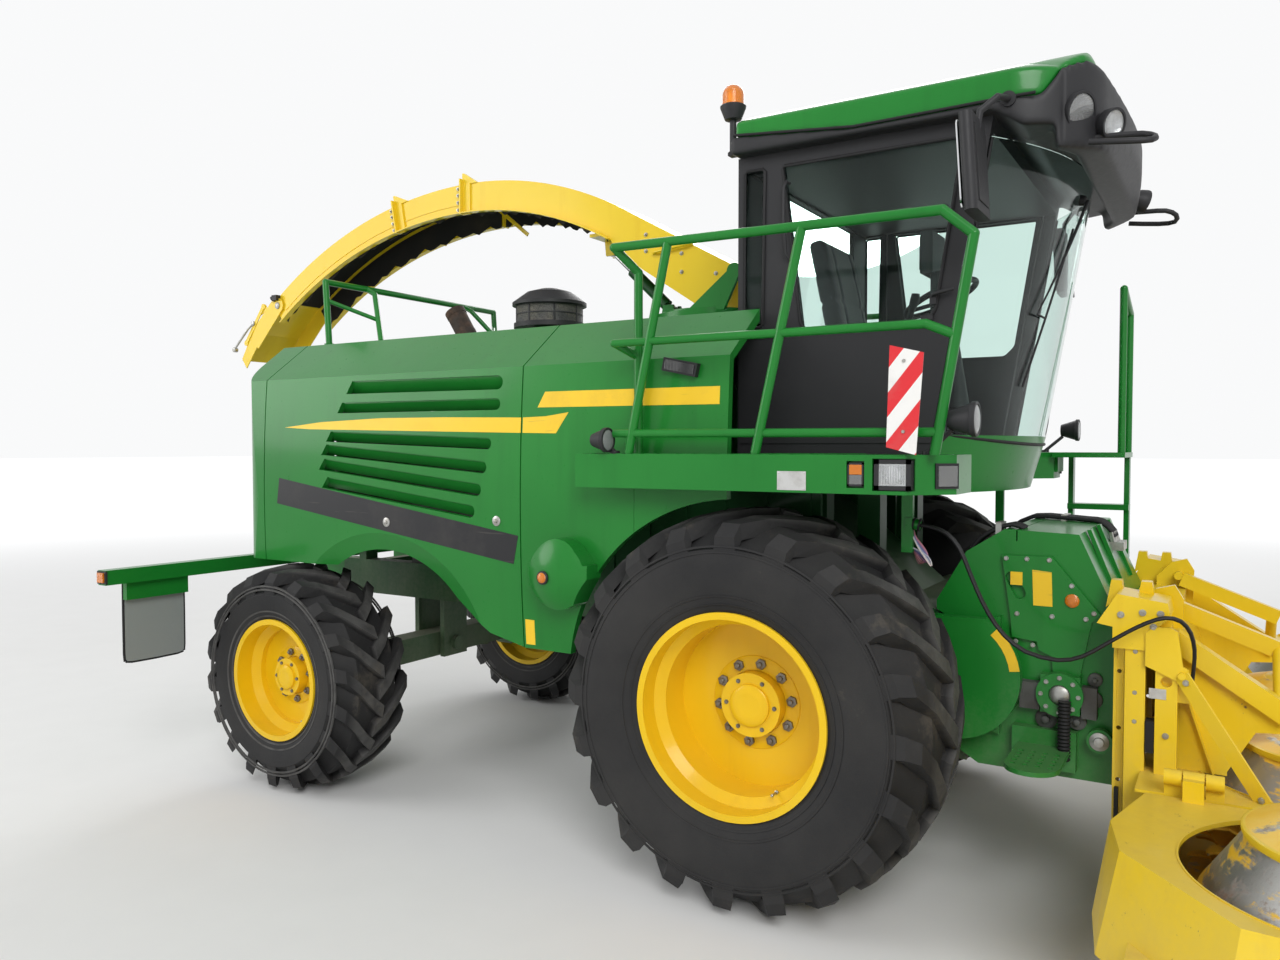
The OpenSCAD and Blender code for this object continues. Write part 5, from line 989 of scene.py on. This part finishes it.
ribs = Shape().tube([(-1108, -222, 3309), (-1100, -246, 3312), (-870, -246, 3336), (-862, -222, 3338)], 9, 10, 1)
for turn in (-1, 1):
    strip(ribs, (3450, 0.6, 34.6, -1), 24, (turn * (spout["half"] - 1), turn * (spout["half"] + 4)),
          lambda k: (132, 140))
ribs.piece("spoutRibs", "yellow", "spout_body", "yellow_paint")
eye = Shape().block((-4650, -262, 3300), (-4596, -218, 3342), 7)
eye.turned((-4650, -240, 3321), (-0.8, 0, -0.6), [(-6, 20), (10, 27), (14, 26), (14, 20), (4, 18)], 28, True)
eye.piece("spoutLamp", "plastic", "spout_body")
Shape().turned((-4654, -240, 3318), (-0.8, 0, -0.6), [(0, 20), (8, 20), (12, 12), (13, 3)], 28).piece(
    "spoutLampGlass", "clearLens", "spout_body", "lamp_plastic")
prop = Shape().tube([(-4907, -244, 3137), (-4960, -256, 3092), (-5146, -250, 2936)], 9, 10)
prop.turned((-4907, -226, 3137), rightward, [(0, 20), (24, 20), (28, 14)], 24)
prop.turned((-5146, -226, 2936), rightward, [(0, 20), (28, 20), (32, 14)], 24)
prop.turned((-4610, -228, 3259), rightward, [(0, 26), (14, 26), (18, 20), (19, 4)], 28)
prop.mirrored().piece("flapRods", "zinc", "flap", "yellow_paint")
print("spout dressed")


# Rear: end caps, lenses and trim of the lamp arms

Shape().block((-3926, -2084, 1308), (-3834, -2072, 1386), 5).block(
    (-3926, 2072, 1308), (-3834, 2084, 1386), 5).piece("armEndShells", "plastic")
boxPair("armEndAmber", "amber", "amber_plastic", (-3912, -2094, 1318), (-3850, -2082, 1376), 5)
boxPair("tailLamps", "redLens", "lamp_plastic", (-3931, -2066, 1312), (-3919, -1950, 1380))
boxPair("tailIndicators", "amber", "amber_plastic", (-3931, -1942, 1312), (-3919, -1870, 1380))
plateEdge = [(-1524, 1290), (-1524, 850), (-1536, 812), (-1572, 794),
             (-1878, 794), (-1914, 812), (-1926, 850), (-1926, 1290)]
trim = Shape().tube([(-3926, y, z) for y, z in plateEdge], 8, 8, 1)
for z in (1210, 1280):
    for y in (-1580, -1870):
        trim.nut((-3932, y, z), (-1, 0, 0), 16, 8, 0)
trim.mirrored().piece("plateTrim", "rubber")
print("rear dressed")


# Feeder: labels, marker, hinge strips, bolts, drive parts, corrugated sleeve and hoses

notes = Shape().plate([(1134, 1574), (1216, 1568), (1221, 1412), (1140, 1412)], "y", -639, -636, 0.6)
notes.plate([(1040, 1500), (1092, 1500), (1092, 1560), (1040, 1560)], "y", -640, -636.5, 0.6)
notes.piece("feederLabels", "yellowFilm", "feeder", "body_paint")
curve = [(r, math.radians(a)) for r, ends in ((306, range(42, 83, 8)), (262, range(82, 41, -8))) for a in ends]
Shape().plate([(800 + r * math.sin(a), 1080 + r * math.cos(a)) for r, a in curve], "y", -738, -735, 0.4).piece(
    "guardLabel", "yellowFilm", slot="body_paint")
Shape().turned((1303, -636, 1446), rightward, [(0, 30), (8, 30), (12, 24), (13, 6)], 28).piece(
    "feederMarker", "amber", "feeder", "amber_plastic")
strips = Shape()
for y in (-380, 380, -40):
    strips.plate([(1330, 1746), (1348, 1750), (1462, 1462), (1444, 1456)], "y", y - 28, y + 28, 3)
    for x, z in ((1349, 1714), (1377, 1644), (1421, 1536)):
        strips.nut((x, y, z), (0.93, 0, 0.37), 18, 9, 0)
strips.piece("frontHinges", "green", "feeder", "body_paint")
fixings = Shape()
for x, z in ((1020, 1620), (1110, 1622), (1205, 1622), (1300, 1512), (1392, 1396), (1070, 1368), (1220, 1368),
             (1360, 1368), (1066, 1240), (1140, 1230), (1318, 1090), (1240, 1092)):
    fixings.nut((x, -637, z), rightward, 17, 9, 0)
fixings.mirrored()
for dx, dz in around(8, 78):
    fixings.nut((1262 + dx, -690, 1026 + dz), rightward, 16, 9, 3)
fixings.turned((1262, -675, 1026), rightward, [(0, 44), (6, 44), (14, 34), (16, 12)], 32)
fixings.turned((1425, -675, 840), rightward, [(0, 40), (6, 40), (12, 22), (20, 20), (22, 6)], 28)
fixings.piece("feederFixings", "zinc", "feeder", "body_paint")
gears = Shape()
for x, z, r in ((1392, 1010, 40), (1400, 1100, 30), (1140, 985, 34), (1200, 900, 46), (1330, 905, 38)):
    gears.turned((x, -600, z), rightward,
                 [(0, r), (34, r), (38, r - 6), (38, r * 0.4), (56, r * 0.36), (60, r * 0.2)], 28)
gears.block((1092, -672, 946), (1176, -610, 1066), 8).block((1350, -668, 930), (1412, -610, 1070), 8)
gears.piece("feedDriveParts", "iron", "feeder", "engine_iron")
folds = [(k * 8, 29 if k % 2 else 23) for k in range(34)]
Shape().turned((1286, -706, 742), upward, folds, 24).piece("corrugatedSleeve", "rubber", "feeder")
pipes, ends = Shape(), Shape()
for k in range(5):
    y = 150 + k * 34
    pipes.tube([(866, y, 1662), (900, y, 1706), (1000, y, 1764), (1140, y - 8, 1764), (1260, y - 20, 1758),
                (1330, y - 30, 1750), (1384, y - 30, 1700), (1396, y - 32, 1640)], 11, 10, 1)
    ends.turned((1380, y - 30, 1700), (0.25, 0, -1), [(0, 11), (0, 15), (26, 15), (30, 17), (52, 17), (54, 9)], 6)
for k in range(4):
    y = -560 + k * 30
    pipes.tube([(850, y, 1652), (884, y, 1698), (950, y, 1744), (1030, y + 6, 1770), (1080, y + 12, 1752)], 10, 10, 1)
pipes.piece("feederHoses", "rubber", "feeder", "cable_rubber")
for low, high, x in ((136, 300, 1140), (-572, -458, 958)):
    ends.block((x, low, 1720), (x + 26, high, 1779))
ends.block((1372, 96, 1610), (1440, 262, 1652), 6).piece("hoseFittings", "zinc", "feeder", "body_paint")
print("feeder dressed")


# Header: bolts, worn rims, rotor caps, rubber pieces and a blank plate

header = {"row": 2300, "floor": 788, "rim": 525, "rotors": (("A", -1680), ("B", -560), ("C", 560), ("D", 1680))}
head = Shape()
for z in (470, 620, 1000, 1120, 1290):
    head.nut((1575, -860, z), rightward, 18, 10, 4)
for x, z in ((1520, 1440), (1600, 1455), (1665, 1455), (1640, 1400)):
    head.nut((x, -880, z), rightward, 22, 12, 6)
for z in (560, 760, 960):
    head.nut((1690, -880, z), rightward, 20, 11, 5)
for x, z in ((1760, 1192), (2018, 812)):
    head.nut((x, -903 - (x - 1745) * 0.53, z), rightward, 20, 11, 5)
head.mirrored().piece("headerBolts", "zinc", "feeder", "yellow_paint")
x = header["row"]
for name, body, places in (("wingRimRight", "wing_right", (-1680,)), ("wingRimLeft", "wing_left", (1680,)),
                           ("frameRims", "feeder", (-560, 560))):
    rim = Shape()
    for y in places:
        rim.collar((x, y, header["floor"]), upward, header["rim"], header["rim"] + 6, 0, 16, 96)
    rim.piece(name, "headerYellow", body, "yellow_paint")
for label, y in header["rotors"]:
    ring = Shape()
    ring.turned((x, y, 906), upward, [(0, 338), (0, 349), (8, 352), (24, 352), (28, 346), (28, 338)], 72, True)
    ring.turned((x, y, 962), upward, [(0, 246), (3, 240), (6, 200), (8, 60), (8, 10)], 56)
    for dx, dy in around(8, 200):
        ring.nut((x + dx, y + dy, 966), upward, 20, 10, 4)
    ring.piece("rotorCap" + label, "headerYellow", "rotor_" + label.lower(), "header_steel")
rubber = Shape().block((1616, -876, 880), (1648, -812, 1010), 6).block((1500, -836, 560), (1516, -808, 700))
rubber.plate([(1640, 780), (1735, 780), (1735, 700), (1720, 640), (1640, 620)], "y", -889, -881, 3)
rubber.mirrored().piece("headerRubbers", "rubber", "feeder")
Shape().plate([(1628, 1108), (1690, 1108), (1690, 1150), (1628, 1150)], "y", -882.5, -880, 0.6).piece(
    "headerPlate", "alloy", "feeder", "grey_plastic")
print("header dressed")


# Floor, sky and lamps

room = {"floor": (0.80, 0.80, 0.79), "speck": (0.84, 0.84, 0.83), "pale": (0.95, 0.955, 0.96), "sky": 0.47,
        "near": 8.0, "far": 22.0, "aim": (0, 0, 1.4), "lampSize": 9.0,
        "lamps": [("keyLamp", (9, -13, 11), 1800), ("fillLamp", (-13, -10, 7), 820), ("backLamp", (-5, 14, 10), 980)]}


def buildRoom():
    bpy.ops.mesh.primitive_plane_add(size=400, location=(0, 0, 0))
    ground = bpy.context.object
    ground.name = "ground"
    p = Paint("groundPaint", Roughness=0.85, Emission_Strength=1.0)
    x, y = p.axis("X"), p.axis("Y")
    away = p.ramp((x * x + y * y) ** 0.5, room["near"], room["far"]) * p.seenRays()
    p.finish(Base_Color=p.mix(p.mix(room["floor"], room["speck"], p.noise(3, 6)), (0.0, 0.0, 0.0), away),
             Emission_Color=p.mix((0.0, 0.0, 0.0), room["pale"], away))
    ground.data.materials.append(p.material)
    world = bpy.data.worlds.new("studio")
    bpy.context.scene.world = world
    world.use_nodes = True
    sky = NodeKit(world.node_tree)
    back = sky.tree.nodes["Background"]
    sky.plug(back.inputs["Strength"], sky.ramp(sky.seenRays(), 0.0, 1.0, room["sky"], 1.0))
    sky.plug(back.inputs["Color"], room["pale"])
    for name, place, power in room["lamps"]:
        lamp = bpy.data.objects.new(name, bpy.data.lights.new(name, "AREA"))
        lamp.data.shape = "DISK"
        lamp.data.size = room["lampSize"]
        lamp.data.energy = power
        lamp.location = place
        lamp.rotation_euler = (Vector(room["aim"]) - Vector(place)).to_track_quat("-Z", "Y").to_euler()
        bpy.context.collection.objects.link(lamp)


buildRoom()
print("room built")
